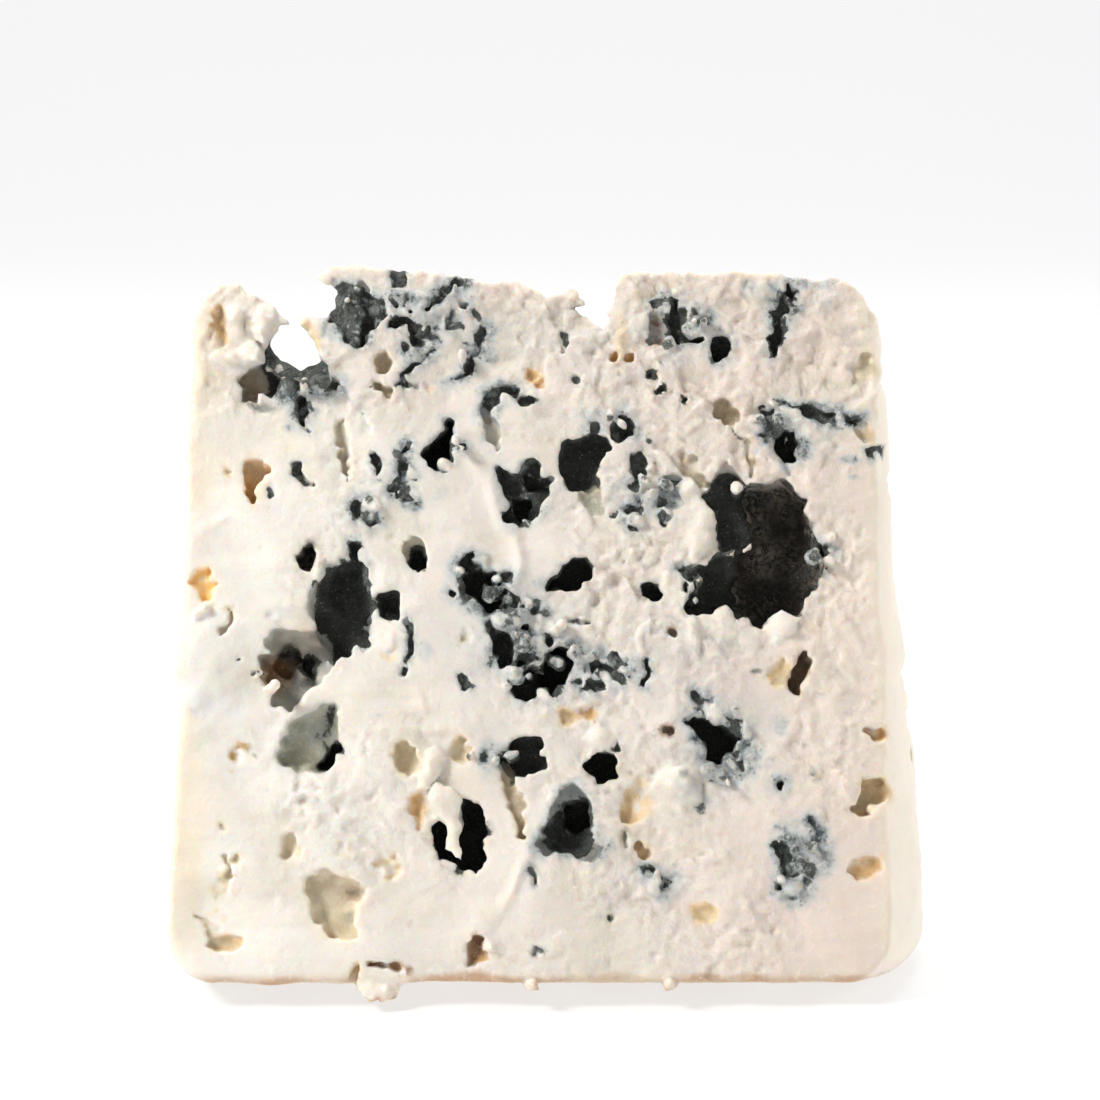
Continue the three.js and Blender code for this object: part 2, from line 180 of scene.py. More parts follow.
def route_distance(points, across, up):
    """Distance to an open route, and how far along it the nearest place lies, from 0 to 1."""
    lengths = [math.dist(a, b) for a, b in zip(points, points[1:])]
    nearest = np.full(across.shape, 1e9, np.float32)
    along = np.zeros(across.shape, np.float32)
    done = 0.0
    for (ax, av), (bx, bv), length in zip(points, points[1:], lengths):
        ex, ev = bx - ax, bv - av
        t = np.clip(((across - ax) * ex + (up - av) * ev) / (length * length), 0, 1)
        d = (across - ax - t * ex) ** 2 + (up - av - t * ev) ** 2
        along = np.where(d < nearest, (done + t * length) / sum(lengths), along)
        nearest = np.minimum(nearest, d)
        done += length
    return np.sqrt(nearest), along


# ---- What the front cut face shows ----
# The outline of the whole face as it is seen, from the foot on the left round to the foot on the right
SEEN_OUTLINE = [
    (-60, -20), (-50.6, -19), (-50.5, 8), (-50.3, 25), (-50.2, 35), (-50.6, 40), (-50.1, 46), (-49.4, 51),
    (-49.2, 58), (-49, 66), (-48.8, 76), (-48.6, 84), (-48.2, 88), (-47.5, 91), (-46.5, 93), (-45, 94.6), (-42, 94.3),
    (-40, 93.2), (-38, 92), (-36.3, 90.2), (-35.2, 89.4), (-36.6, 89.1), (-36.8, 88), (-37.9, 86), (-37, 84.8),
    (-36, 84.2), (-34.5, 83.4), (-33.3, 82.5), (-31.5, 83.1), (-30.3, 84), (-31.3, 84.8), (-32, 86.5), (-33.8, 89.2),
    (-33.2, 90.3), (-31.6, 89.6), (-30, 89.9), (-28.7, 91), (-28.7, 93.5), (-29.3, 94.3), (-30.5, 94.4),
    (-31.2, 95.5), (-29, 97.2), (-26, 97.2), (-20, 96.3), (-15, 95.8), (-10, 95), (-8, 94.7), (-5, 95.3), (-3, 94.7),
    (-1.5, 93.5), (-0.5, 92.7), (0, 93), (2, 93.3), (3, 93.9), (4.2, 93.3), (5.5, 91.6), (4.3, 91.7), (3.2, 91.2),
    (4.5, 90.3), (6, 89.3), (8, 88.2), (8.3, 88.8), (8.5, 91), (9.3, 92.5), (9.8, 94.5), (10, 96), (14, 96.3),
    (31, 96), (35, 95.6), (39, 95.2), (41, 94.5), (43.3, 93), (44.6, 91), (45.3, 89), (45.8, 87), (46, 85.6),
    (45.4, 84.5), (45.3, 81.2), (46, 79.8), (46.6, 76.5), (46.9, 72), (46.4, 69), (46.1, 67), (46.3, 65.8),
    (47, 64.5), (47.2, 60), (47.5, 54), (47.9, 48), (48.3, 44.6), (48, 42.8), (47.3, 41.6), (47.9, 40.2), (48.4, 36),
    (49, 30), (49.5, 22), (50, 14), (50.3, 7), (50.3, -19), (60, -20),
]

# Linings of the hollows: the tint of the bare paste there, how much of it is under mould, and how dusty that is. Some
# tints are partly painted light: umber is partly painted shade of deep holes, tan partly painted shadow in some
# grooves, and amber, honey and orange partly painted glow of light through the paste
LININGS = {
    "mould": ((0.22, 0.23, 0.20), 1.0, 0.62),
    "sage": ((0.30, 0.32, 0.29), 0.95, 0.85),
    "patchy": ((0.42, 0.43, 0.38), 0.62, 0.7),
    "grey": ((0.40, 0.40, 0.36), 0.30, 0.8),
    "olive": ((0.46, 0.44, 0.31), 0.12, 0.8),
    "brown": ((0.36, 0.19, 0.08), 0.12, 0.3),
    # Painted shade: this near-black brown is partly the hollows' own brown and partly the shade deep inside them
    "umber_and_shade": ((0.034, 0.016, 0.010), 0.5, 0.03),
    "amber": ((0.80, 0.53, 0.24), 0.0, 0.0),
    "tan": ((0.72, 0.60, 0.43), 0.0, 0.5),
    "honey": ((0.86, 0.66, 0.39), 0.0, 0.0),
    "cream": ((0.89, 0.77, 0.56), 0.0, 0.0),
    "orange": ((1.0, 0.60, 0.13), 0.0, 0.0),
    "paste": ((0.86, 0.81, 0.735), 0.0, 0.0),
}


def hollow(outline, deep, lining, bulge=0.5, rough=0.16, floor=0.9, halo=0.0, soft=0.25):
    """A hollow: its outline, depth and lining; how it widens, and how rough and round it is inside; its blue halo."""
    return dict(outline=outline, deep=deep, lining=lining, bulge=bulge, rough=rough, floor=floor, halo=halo, soft=soft)


def bowl(x, v, w, h, deep, lining="honey", tilt=0, **more):
    """A shallow round pit with a smooth floor."""
    return hollow(oval(x, v, w, h, tilt), deep, lining, bulge=0.1, rough=0.06, floor=1.1, soft=0.18, **more)


def dot(x, v, w, h=None, deep=None, lining="mould", **more):
    """A small hole."""
    return hollow(oval(x, v, w, h, sides=8), deep or 1.2 * w, lining, bulge=0.1, rough=0.08, soft=0.15, **more)


def crack(points, width, deep, lining="mould", halo=0.0):
    """A crack or channel along a route, widest in its middle."""
    return dict(route=points, width=0.85 * width, deep=deep, lining=lining, bulge=0.05, rough=0.08, floor=0.3,
                halo=halo, soft=0.15)


HOLLOWS = [
    # The great hole: its deep right half, and the two mould-lined facets on its left
    hollow([(27.2, 66.8), (30, 66.9), (32.7, 67), (33.5, 66.5), (35, 65), (35, 64), (35.3, 62), (36.3, 60.7),
        (36.5, 58), (37.2, 56.5), (37, 55), (36.5, 53.5), (35.5, 51.5), (35, 50), (34, 49.3), (32.6, 48.5),
        (31.6, 49.3), (30.7, 49.4), (30, 48.6), (29, 48), (28, 48.5), (27, 49.4), (26.2, 52), (26, 57.6), (28, 59.6),
        (28.2, 63)], 10.5, "umber_and_shade", bulge=0.7, rough=0.35, floor=4, halo=0.2),
    hollow([(22.2, 66.5), (22.7, 67.3), (23.8, 68), (25, 68.5), (26.5, 66.9), (29, 66.9), (30, 63), (29.4, 60),
        (27.5, 57.8), (25, 57.6), (23, 58), (22.9, 61), (23.1, 63), (22.2, 64.5), (21.9, 65.5)], 4.6, "mould",
        bulge=0.5, rough=0.36, floor=2.5),
    hollow([(28, 58.5), (27.6, 50), (27, 49.2), (26, 49.7), (25.4, 49.2), (25.2, 50), (23.5, 50), (22.3, 49.2),
        (21.5, 49.5), (20.5, 49.8), (19, 49.6), (18.8, 51), (19.8, 51.5), (20.3, 52.5), (20.5, 53.5), (20.3, 55),
        (21, 56), (22.7, 56.5), (23, 58)], 5.2, "mould", bulge=0.5, rough=0.4, floor=3),
    # The mould-lined pit on the left, and the brown pit that opens into it
    hollow([(-30.2, 55), (-29.5, 55.3), (-28, 56), (-27, 56.7), (-26, 57.3), (-25.8, 58.8), (-25, 57), (-24.4, 54),
        (-24, 50), (-24.2, 48), (-24.6, 46.2), (-26, 45.7), (-26.9, 45), (-26.8, 44.3), (-27.8, 43.3), (-28.9, 43),
        (-30.2, 44.6), (-31, 47), (-31.6, 50), (-31.4, 53)], 6, "sage", bulge=0.6, rough=0.4, floor=3.6, halo=0.4),
    hollow([(-36.8, 46.5), (-35.5, 47), (-34, 47.2), (-32.3, 46.5), (-31, 45.7), (-30, 45.5), (-29.5, 43.5),
        (-29.8, 42), (-30.2, 40.9), (-31, 40.3), (-32, 39.5), (-33, 38), (-34.3, 36.9), (-35.2, 36.9), (-36.5, 38.2),
        (-37.3, 40), (-37.7, 40.7), (-38.2, 41.6), (-38, 42.5), (-38, 43.2), (-37.2, 43.8), (-36.5, 45),
        (-37.5, 45.8)], 5, "grey", bulge=0.5, rough=0.3, floor=2.4),
    hollow(oval(-35.4, 43.6, 2.6, 4), 7, "umber_and_shade", rough=0.2),
    hollow(oval(-36.8, 41.4, 2.2, 3.4), 4.6, "brown", rough=0.2), dot(-32.5, 42.5, 1.7, 2.4, 6.6),
    hollow([(-28.2, 37), (-29.8, 37.2), (-31.5, 36.8), (-33, 35.5), (-34.3, 34.3), (-35.3, 33), (-35.3, 31),
        (-35, 29.5), (-34.5, 28.7), (-31.5, 28.6), (-30.3, 28), (-29.5, 28.8), (-28.3, 29.8), (-28, 30.8),
        (-27.6, 31.7), (-28, 32.2)], 3.2, "olive", bulge=0.2, rough=0.12, floor=2, halo=0.3),
    hollow([(-28.2, 32.4), (-27.6, 31.7), (-28.2, 30), (-29.5, 28.9), (-30.2, 28.9), (-29.3, 30.2)], 6, "mould"),
    # Dark holes of the upper half
    hollow([(-13.2, 76), (-14.5, 74), (-15.5, 72.8), (-16.3, 71.3), (-16.6, 70.8), (-15.5, 69.8), (-14.7, 68.9),
        (-14.2, 68.6), (-13.3, 69), (-13, 70), (-13, 74)], 7, "mould", halo=0.5),
    hollow([(2.5, 73.5), (3.4, 73.2), (6.3, 74), (7.7, 73.6), (8.6, 72.5), (7.5, 71.2), (7.2, 70.2), (6.4, 69),
        (6.6, 68), (6.8, 67), (4.5, 66.5), (3, 66.9), (2.5, 68), (2, 70), (2, 72)], 4.2, "mould", rough=0.12,
        halo=0.2),
    hollow([(5, 66), (6.8, 67.2), (7.1, 64), (6.2, 62.8), (5.8, 64.2)], 1.6, "olive", rough=0.08),
    hollow([(8.7, 74.8), (10.8, 76.8), (11.3, 74.5), (9.6, 72.4)], 2.8, "patchy"),
    hollow([(-1.6, 70.2), (-1.3, 69), (-0.7, 68), (0, 67), (-0.3, 65.5), (-0.5, 63.8), (-1, 62.6), (-2.1, 61.6),
        (-3, 62.2), (-4, 61.9), (-4.9, 61.5), (-5.4, 62.3), (-5.5, 63.5), (-5, 64), (-5.3, 65), (-5.7, 66), (-6, 67),
        (-6.5, 68.2), (-5.8, 69.2), (-5, 68.3), (-4, 68.7), (-3.3, 69.5)], 3.6, "sage", rough=0.45, halo=0.5),
    hollow(oval(-3.3, 64.3, 1.7, 2.4), 6.5, "mould"), hollow(oval(-2, 67.6, 1.6, 1.6), 5.5, "mould"),
    hollow([(4.8, 57.2), (5.7, 56.6), (5.7, 55.8), (5.2, 54.3), (4, 53.3), (2.1, 52.5), (0.8, 53), (-0.2, 52.9),
        (0.5, 53.5), (2, 54.7), (3, 56.2)], 5, "mould", rough=0.12, halo=0.2),
    hollow([(13, 53.3), (14.7, 53.5), (15, 52.3), (14.9, 51), (14.2, 51.2), (13.2, 52.5)], 3.6, "mould", halo=0.3),
    hollow([(-18.2, 59.4), (-17, 59.3), (-16.8, 58.3), (-16.3, 57.2), (-16.9, 56), (-17.5, 54.5), (-17.7, 55.5),
        (-18.1, 56.5), (-19.4, 57.5), (-19, 58.5)], 2.6, "tan", halo=0.1),
    hollow(oval(-17.3, 56.9, 1.6, 3.2, 10), 5, "mould"),
    hollow([(-22.5, 51.3), (-21.5, 52.1), (-20.5, 52.2), (-20.4, 51.5), (-20.2, 50), (-20.2, 48.9), (-21, 49.4),
        (-22, 50.3)], 4, "mould", halo=0.2),
    hollow([(-32.4, 58.6), (-31.5, 58.6), (-31.4, 57.5), (-31, 56.5), (-30.7, 55.5), (-31, 55.1), (-32, 55.1),
        (-32.7, 55.7), (-33.3, 56.8), (-32.6, 57.5)], 4.4, "umber_and_shade", halo=0.1),
    hollow([(-40.2, 70.5), (-39, 70), (-38.5, 69), (-38.5, 68), (-38.3, 67.1), (-39, 66.2), (-39.5, 65),
        (-39.6, 64.3), (-40, 65), (-40, 66.5), (-40.6, 67.8), (-40.6, 69)], 3, "amber"),
    hollow([(-34.2, 70.2), (-33.3, 69), (-33.3, 67.6), (-34, 67.7), (-34.4, 68.5)], 1.8, "patchy", halo=0.3),
    hollow([(15, 66.5), (17, 68.2), (17.5, 66), (18, 65), (17.2, 63.5), (16.2, 64.2)], 1.7, "grey", halo=0.5),
    hollow([(18, 71), (19.9, 70), (19.7, 68.6), (21.4, 67.6), (20.4, 66.6), (18.7, 68.3)], 1.8, "tan"),
    hollow(oval(13, 69.4, 1.2, 3.1), 2.6, "mould", halo=0.2),
    hollow(oval(32.5, 72, 1.9, 5.4), 5, "mould", rough=0.2, halo=0.6), hollow(oval(-46, 53, 1.5, 4), 1.6, "orange"),
    # The mouldy cluster in the middle
    hollow([(-11.8, 56.4), (-11, 57), (-9.8, 57.2), (-9.4, 56.4), (-9.6, 55.3), (-10.8, 55)], 3, "mould", halo=0.8),
    hollow([(-11.9, 54.2), (-10.5, 54.3), (-9.5, 55), (-8, 55), (-6.5, 53.7), (-8.5, 53.5), (-9, 52.7), (-8.8, 51.8),
        (-6.7, 51.5), (-5.9, 50.8), (-6, 50), (-6.8, 49.9), (-7.5, 49.5), (-8.3, 49.3), (-9, 50.3), (-10.2, 50.8),
        (-11.1, 51.2)], 4.6, "mould", rough=0.3, halo=0.9),
    hollow([(-6.8, 47), (-5, 47.2), (-4.8, 46), (-5, 44.5), (-4.9, 43.2), (-6.2, 43.5), (-7.3, 43), (-7, 44),
        (-6.8, 45)], 4, "mould", rough=0.25, halo=0.9),
    hollow([(-0.3, 44.5), (1, 44.3), (3, 44.5), (3.5, 43.5), (3.5, 42), (3, 40.8), (1.5, 40), (0.5, 39.5),
        (-0.5, 39.5), (-0.8, 41.5)], 6, "mould", rough=0.3, halo=0.8),
    hollow([(-4.5, 40), (-3.7, 38.6), (-2.4, 37.9), (-1.5, 38.5), (0, 38.8), (0.4, 40), (-0.3, 42), (-2.5, 42.2),
        (-3.4, 43), (-3.8, 41.6)], 4.2, "mould", rough=0.3, halo=0.7),
    dot(-3.5, 47.6, 1.5, 1.3, 2.4), dot(0.1, 45.6, 1.1, 1.6, 2.2), dot(-4.5, 45.7, 0.7), dot(-3, 43.6, 1.4, 0.9, 1.6),
    # Dark holes of the lower half
    hollow([(19, 34.8), (19.5, 35.6), (20.8, 35.3), (21.6, 34.6), (23, 34.2), (24.5, 33.5), (25.3, 33), (25, 32),
        (24.3, 31.3), (25, 30), (24, 29.7), (23, 29.4), (22.3, 29.7), (21.9, 30.3), (21.1, 31), (20.9, 32),
        (20.2, 33), (19.4, 33.8)], 6, "mould", halo=0.9),
    hollow([(6.7, 30.4), (9, 30), (9.2, 29), (9, 28.5), (9.4, 27.5), (9.1, 26.9), (7.2, 27.4), (6.2, 28.3), (5.4, 29),
        (5.8, 29.8)], 5.6, "mould", rough=0.1, halo=0.1),
    hollow([(-4.5, 31.5), (-3.8, 32), (-3, 32.2), (-1.5, 32.2), (-0.8, 31.8), (-0.8, 31), (-0.4, 30.2), (-0.6, 29),
        (-1.2, 28.4), (-2.3, 28.6), (-3.8, 28.2), (-4.5, 27.5), (-4.9, 28.3), (-5.1, 29.3), (-5.6, 30), (-6.4, 29.9),
        (-5, 30.5)], 4.2, "mould", rough=0.12, halo=0.3),
    hollow([(-11.5, 24.3), (-10.5, 24), (-9, 24), (-8.5, 22.8), (-8.4, 22), (-8.9, 21.5), (-8.5, 20), (-8.8, 19.2),
        (-9.3, 18.8), (-9, 17.8), (-8.6, 17.1), (-8.8, 16.5), (-9.5, 15.7), (-9.9, 15.3), (-10.5, 15.6),
        (-11.3, 15.4), (-12.5, 16), (-13.5, 16.8), (-14.6, 17.5), (-15, 18.5), (-15.2, 19.8), (-15.2, 21),
        (-14.6, 22.2), (-12.8, 24)], 8, "mould", rough=0.12, floor=2.5),
    hollow([(3, 26.8), (1.5, 24), (0.3, 21.5), (-0.3, 19.5), (-1.7, 18.5), (-1, 18), (0.5, 17.8), (3, 17.9),
        (5.5, 17.5), (7, 17), (8, 18), (7.2, 18.7), (6, 19.5), (6.1, 20.5), (5.5, 22), (5, 24), (4.5, 25.5)], 2.6,
        "grey", rough=0.25, floor=1.4, halo=0.7),
    hollow(oval(3.1, 20.3, 5.6, 5.2), 4.0, "mould", rough=0.14, floor=1.8),
    hollow(oval(4.3, 22.1, 2.7, 3), 8, "mould"),
    hollow([(34.3, 43.4), (35.2, 43.3), (35.4, 42.5), (35.3, 41.7), (34.6, 40.7), (34.4, 39.8), (33.9, 38.9),
        (33.3, 38.4), (32.2, 39.3), (32.5, 40.2), (32.4, 41.2), (33, 42.4)], 6, "brown"),
    bowl(31.2, 41.4, 2.8, 3, 0.9, "honey"),
    # Clean pits with warm linings; their amber and honey are partly the paste's own tint and partly painted glow of
    # light through the paste
    hollow([(41.8, 27.3), (44, 27), (45, 26.5), (45.5, 25.5), (45.3, 24.5), (44, 24.3), (43.5, 23), (41.3, 23),
        (42.4, 24.6)], 3, "honey", rough=0.3),
    bowl(-19.2, 30.2, 2.8, 4, 2.2, "cream"), bowl(-11.8, 30.9, 2.2, 3.2, 2.0, "cream"),
    bowl(-34.2, 18, 2.7, 3.1, 1.9, "cream"),
    hollow([(-31.7, 13.5), (-31, 14.3), (-29.5, 14.5), (-28.5, 14.2), (-27.5, 13.8), (-26.5, 14.3), (-25.6, 13.8),
        (-25.3, 12.8), (-23.7, 12.1), (-25, 11.7), (-25.5, 9), (-26, 7.5), (-26.5, 6), (-28.5, 6.3), (-29.8, 7.5),
        (-30.8, 9.5), (-31.2, 11)], 2.6, "cream", rough=0.22, floor=1.4),
    dot(-26.2, 12, 1.3, 1.3, 3.4, "brown"), dot(-26.6, 8.9, 0.7, 0.8, 3.2, "olive"),
    hollow([(-22.7, 15.5), (-22.2, 16.7), (-21.5, 16.8), (-20.6, 16.2), (-20.2, 15), (-21, 14.2), (-21.4, 15)], 1.8,
        "honey"),
    hollow(oval(-42.6, 5.6, 2.4, 2.2), 1.8, "honey"),
    crack([(-46.5, 9.3), (-45, 8.3), (-43.8, 6.5), (-42.5, 5.5)], 0.9, 1.2, "cream"),
    bowl(-41.3, 16.5, 1.6, 1.4, 0.7, "cream"), bowl(-43.5, 13.3, 1.4, 2, 0.6, "cream"),
    bowl(21.1, 9.5, 2.1, 3, 1.4, "honey"),
    crack([(-42.8, 17), (-42.5, 14.5), (-42.8, 13), (-43.5, 12)], 0.5, 0.7, "cream"),
    hollow([(11.9, 18.3), (12.8, 18.6), (13.5, 18), (13.6, 17), (13, 16.6), (12.3, 17.2)], 2.6, "amber"),
    hollow([(12.5, 28), (13.6, 25.8), (14.2, 24.2), (13, 22.5), (11.5, 21.5), (9.5, 22), (11, 24.5), (12, 26)], 1.2,
        "honey"),
    hollow([(40.2, 15), (42, 16.2), (43.5, 16.3), (43.8, 15.4), (42.5, 15), (41.8, 14.5), (40.9, 14.8)], 1.4,
        "amber"),
    hollow(oval(-9.3, 4.4, 1.8, 3), 1.6, "brown"), dot(-8, 3.6, 0.8, 0.8, 1, "amber"),
    dot(8.7, 9, 1.1, 1.2, 1.6, "umber_and_shade"), hollow(oval(-17, 23.2, 1.5, 3.4), 1.6, "amber"),
    dot(-43.3, 46.9, 1, 0.8, 0.8, "amber"), dot(-43, 68.5, 0.9, 0.9, 0.7, "amber"),
    bowl(-41.5, 29.9, 1.5, 1.5, 1, "amber"), bowl(-40.6, 31.3, 1.1, 1.1, 0.8, "amber"),
    bowl(-38.8, 31.6, 1.2, 1.2, 0.6, "olive"), crack([(42.7, 33.6), (44, 33.3), (45.2, 33.6)], 0.9, 1.2, "amber"),
    bowl(2.9, 35.6, 1.8, 2, 0.8, "honey"), bowl(5.1, 35.8, 2.4, 1.6, 0.9, "amber"),
    bowl(-11, 46, 1.5, 2, 0.5, "cream"), bowl(-21, 43.5, 1.2, 1.6, 0.4, "cream"),
    hollow(oval(24.6, 77, 1.9, 3.4, 20), 2.4, "tan"), hollow(oval(43.2, 82.6, 2.2, 3.6), 1.3, "cream"),
    hollow(oval(43, 74, 1.5, 2.5), 1.2, "honey"), bowl(38.9, 58.3, 1.2, 2.4, 0.7, "cream"),
    # The top: mouldy channels and pits near the tip
    hollow([(-38.1, 86.4), (-36.1, 85), (-33.5, 83.8), (-30, 83.6), (-29, 80.6), (-30.8, 78.8), (-33.4, 80),
        (-36, 80.8), (-38.7, 82.3), (-39.6, 85.7)], 1.5, "sage", rough=0.35, halo=0.3),
    hollow([(-41.4, 81.9), (-39.8, 83), (-37.5, 82.4), (-36.2, 81.2), (-36.4, 79.1), (-38.6, 78.9), (-40.6, 79.6)],
        4.4, "mould", rough=0.3, halo=0.2),
    hollow(oval(-40.2, 81.2, 2, 3), 2.6, "tan"),
    hollow([(-28.7, 94.8), (-25.8, 94), (-23.5, 92.5), (-21.6, 91.7), (-22.7, 89.5), (-24.4, 87.2), (-25.3, 85.7),
        (-27.2, 86.8), (-29.8, 88.7), (-28.7, 91)], 1.7, "sage", rough=0.4, halo=0.8),
    crack([(-25, 93.3), (-24.1, 91), (-24.6, 88.3), (-25.4, 86.2)], 1.6, 3, halo=0.6),
    hollow(oval(23.5, 85.8, 2.4, 3.2), 3.6, "mould", halo=0.7),
    hollow(oval(15, 88.3, 2.4, 4), 1.5, "brown", halo=0.2),
    hollow([(-21.2, 96.4), (-19.4, 96.2), (-20.2, 94.6)], 1.4, "mould", halo=0.8),
    hollow([(-4, 78.6), (-2, 78.4), (-2.8, 77)], 1.6, "mould", halo=0.4), dot(-12.4, 89, 1.6, 1.2, 1.4),
    dot(-18, 88.2, 1.2, 1.6, 1.5), dot(-9.3, 90.3, 1.1, 1, 1), dot(4, 92.4, 1, 0.8, 1), dot(12.8, 72.8, 0.9),
    dot(9.2, 62.9, 0.8), dot(12.2, 63.3, 1.5, 1.6, 1.4), dot(15.8, 62, 0.8), dot(-37.3, 65.8, 0.9, 0.6, 0.7),
    dot(14.3, 81.9, 0.9), dot(15.7, 79.7, 0.8), dot(18.3, 78.6, 0.8), dot(4, 81.7, 1, 0.9, 0.9, "patchy"),
    dot(-2.2, 82.2, 1.2, 2, 1.4, "amber"), dot(-0.7, 80.9, 1, 1, 1.2, "amber"), dot(9.3, 84.6, 0.8, 1, 1, "amber"),
    dot(11.2, 84.6, 0.8, 1, 1, "amber"), dot(-22.3, 83.8, 1.4, 3, 1.6, "tan"), dot(-16, 80.8, 1.2, 1, 1, "honey"),
    dot(29.8, 77, 1.5, 1.2, 1.8), dot(31.8, 77.4, 1.3, 1, 1.6), dot(30, 75, 1.2, 1.3, 1.6),
    dot(31, 74, 1.1, 0.9, 1.5), bowl(-44.4, 88.6, 1.3, 6, 1.3, "amber"), dot(-27.8, 73.5, 0.9, 4.6, 1.2, "honey"),
    # Small dark spots
    dot(-18.8, 41.5, 1.4, 1.3, 2, halo=0.3), dot(-11, 40.4, 0.8, 2.3, 1.2, halo=0.4),
    dot(20.2, 38.4, 1.6, 1.2, 1.4, "patchy", halo=0.8), dot(9.2, 31.7, 0.8), dot(7.2, 40.1, 1, 0.9, 1.2),
    dot(9, 43.4, 1, 0.8, 1), dot(9.7, 42.6, 0.8), dot(3.3, 48.2, 1.3, 1, 0.9, "patchy"),
    dot(17, 46.3, 0.9, 0.8, 0.8, "brown"), dot(22.8, 27, 0.9, 1.1, 1.2), dot(20, 23.8, 1, 1.4, 1.2, "patchy"),
    dot(16, 33.5, 1, 1, 0.8, "brown"), dot(30.8, 26.4, 1, 1.3, 2, halo=0.7), dot(31.3, 12.9, 0.9, 0.9, 1.2),
    dot(30.8, 18.6, 0.8), dot(30.9, 34.6, 1, 1, 0.7, "grey", halo=0.5), dot(35.5, 28, 0.5, 0.5, 0.5, "grey"),
    dot(43.2, 39.8, 0.5, 0.5, 0.5, "brown"), dot(-40.8, 43.6, 0.4), dot(-39, 40.6, 0.4),
    dot(-37, 49.3, 1.5, 1.1, 0.6, "grey"), dot(-1.2, 4.6, 0.6, 0.6, 0.5, "grey"),
    dot(-43, 20.9, 0.6, 0.6, 0.5, "cream"), dot(-43.7, 9.4, 0.6, 0.6, 0.5, "cream"),
    dot(10.9, 48.7, 0.5, 0.5, 0.5, "grey"), dot(19.6, 54.8, 1.5, 2.2, 1.4, "patchy"),
    dot(39.9, 57.7, 0.7, 3.2, 1, "olive"),
    # Cracks and channels
    crack([(17.8, 92.4), (17, 90), (17.3, 88), (19, 86.8), (20.7, 86.9)], 1.7, 2.2, halo=0.7),
    crack([(33, 94.7), (33.3, 93.6), (32.3, 92), (31.5, 89.5), (31.5, 87.5), (30.8, 86), (30.7, 84.7)], 1.5, 2,
        halo=0.7),
    crack([(32.4, 77.3), (35, 77), (38, 76.4), (42.4, 75.7)], 1.2, 1.5, halo=1.0),
    crack([(-32.9, 79.4), (-32.8, 77.2), (-32.6, 74.8)], 1.5, 2.6, halo=0.5),
    crack([(-40.4, 78.4), (-38.5, 77.6), (-36.5, 77.4)], 0.4, 0.7, "grey"),
    crack([(-21.6, 89), (-20, 89.4), (-18.5, 89.2)], 0.9, 1.2, halo=0.7),
    crack([(-4.5, 79.7), (-6.6, 79.8), (-8, 78), (-7.9, 75.6)], 2.1, 1.9, "patchy", 0.8),
    crack([(-8, 76.4), (-7.4, 74), (-6.8, 72.3)], 1.6, 1.5, "tan", 0.4),
    crack([(-8.2, 88.5), (-9.2, 86.6), (-9.8, 84.8), (-10.8, 83), (-12.8, 81.2)], 0.9, 1.8, "mould", 0.8),
    crack([(-16.5, 91), (-13, 94.6), (-11, 94.6)], 0.6, 0.7, "patchy", 0.9),
    crack([(-23.4, 81.6), (-22.2, 80), (-21.3, 79.4)], 1.1, 1.6, "tan"),
    crack([(-21, 80.4), (-19.6, 81), (-18, 80.4)], 0.9, 1.2, "patchy", 0.3),
    crack([(-19.6, 81.6), (-17.6, 83.6), (-15.4, 85.6)], 0.4, 0.8, "patchy", 0.6),
    crack([(-25, 77), (-24.8, 75.3), (-24.4, 73.4)], 0.7, 1.3, "patchy"),
    # Painted shadow: the tan lining of this groove stands for the shadow cast by the left edge of the slab beside it
    crack([(-28, 75.6), (-27.6, 72), (-26.9, 67.6)], 0.9, 0.9, "tan"),
    crack([(25.4, 75), (26.1, 73.3), (26.9, 72), (27.4, 70.5), (27.6, 68.7)], 0.6, 1.3, "tan"),
    crack([(2.2, 88), (2.3, 85.6)], 0.5, 0.7, "patchy"), crack([(43.5, 71.5), (46.3, 72.2)], 0.35, 0.5, halo=0.8),
    crack([(-18.9, 72.5), (-19.3, 69.5), (-18.9, 65.4), (-17.9, 64.6)], 0.7, 0.8, "patchy", 1.0),
    crack([(-23.5, 70.5), (-22.9, 68.2)], 0.5, 0.8, "patchy", 0.4),
    crack([(-24.5, 64.6), (-25.3, 63.8), (-25.2, 63), (-26, 62.2)], 0.8, 1.2, "patchy", 0.6),
    crack([(-33.4, 67.4), (-31.9, 66.9)], 0.5, 0.7, "patchy"),
    crack([(-43, 50), (-42.5, 49), (-42.8, 47)], 0.4, 0.8, "cream"),
    crack([(-6.5, 52.5), (-5, 50.5), (-4.3, 49)], 0.9, 1.5, "mould", 0.9),
    crack([(-3, 50.2), (-2, 49.5), (-1.5, 48.3)], 0.8, 1.3, "mould", 0.8),
    crack([(-18.9, 48.4), (-17.9, 46.4), (-18.4, 44.4), (-18.8, 42.2)], 0.3, 0.7, "patchy", 0.5),
    bowl(-21.4, 44.4, 1.2, 3.2, 0.6, "cream"),
    crack([(5.5, 41.8), (7, 42.4), (8.3, 42), (9.1, 40.5)], 0.9, 1.4, "mould", 0.6),
    crack([(13.2, 43), (12.8, 42.4), (13.2, 41), (13.5, 39.8)], 0.5, 1, "patchy", 0.7),
    crack([(3.8, 48.1), (5.5, 47.7)], 0.5, 0.7, "patchy"),
    crack([(-29, 36.5), (-29.5, 35), (-30, 33.5)], 0.6, 3.4, "patchy"),
    # Painted shadow: the tan lining of this groove stands for the shadow along the left side of the ridge beside it
    crack([(-6, 30.6), (-4.9, 26.5), (-4.1, 23.8), (-3.6, 19.6)], 1.7, 1.2, "tan"),
    crack([(13.2, 14.9), (14.2, 14.4), (15.2, 14.2), (15.7, 13.5), (15.4, 12.3)], 0.9, 1.5, "mould", 0.8),
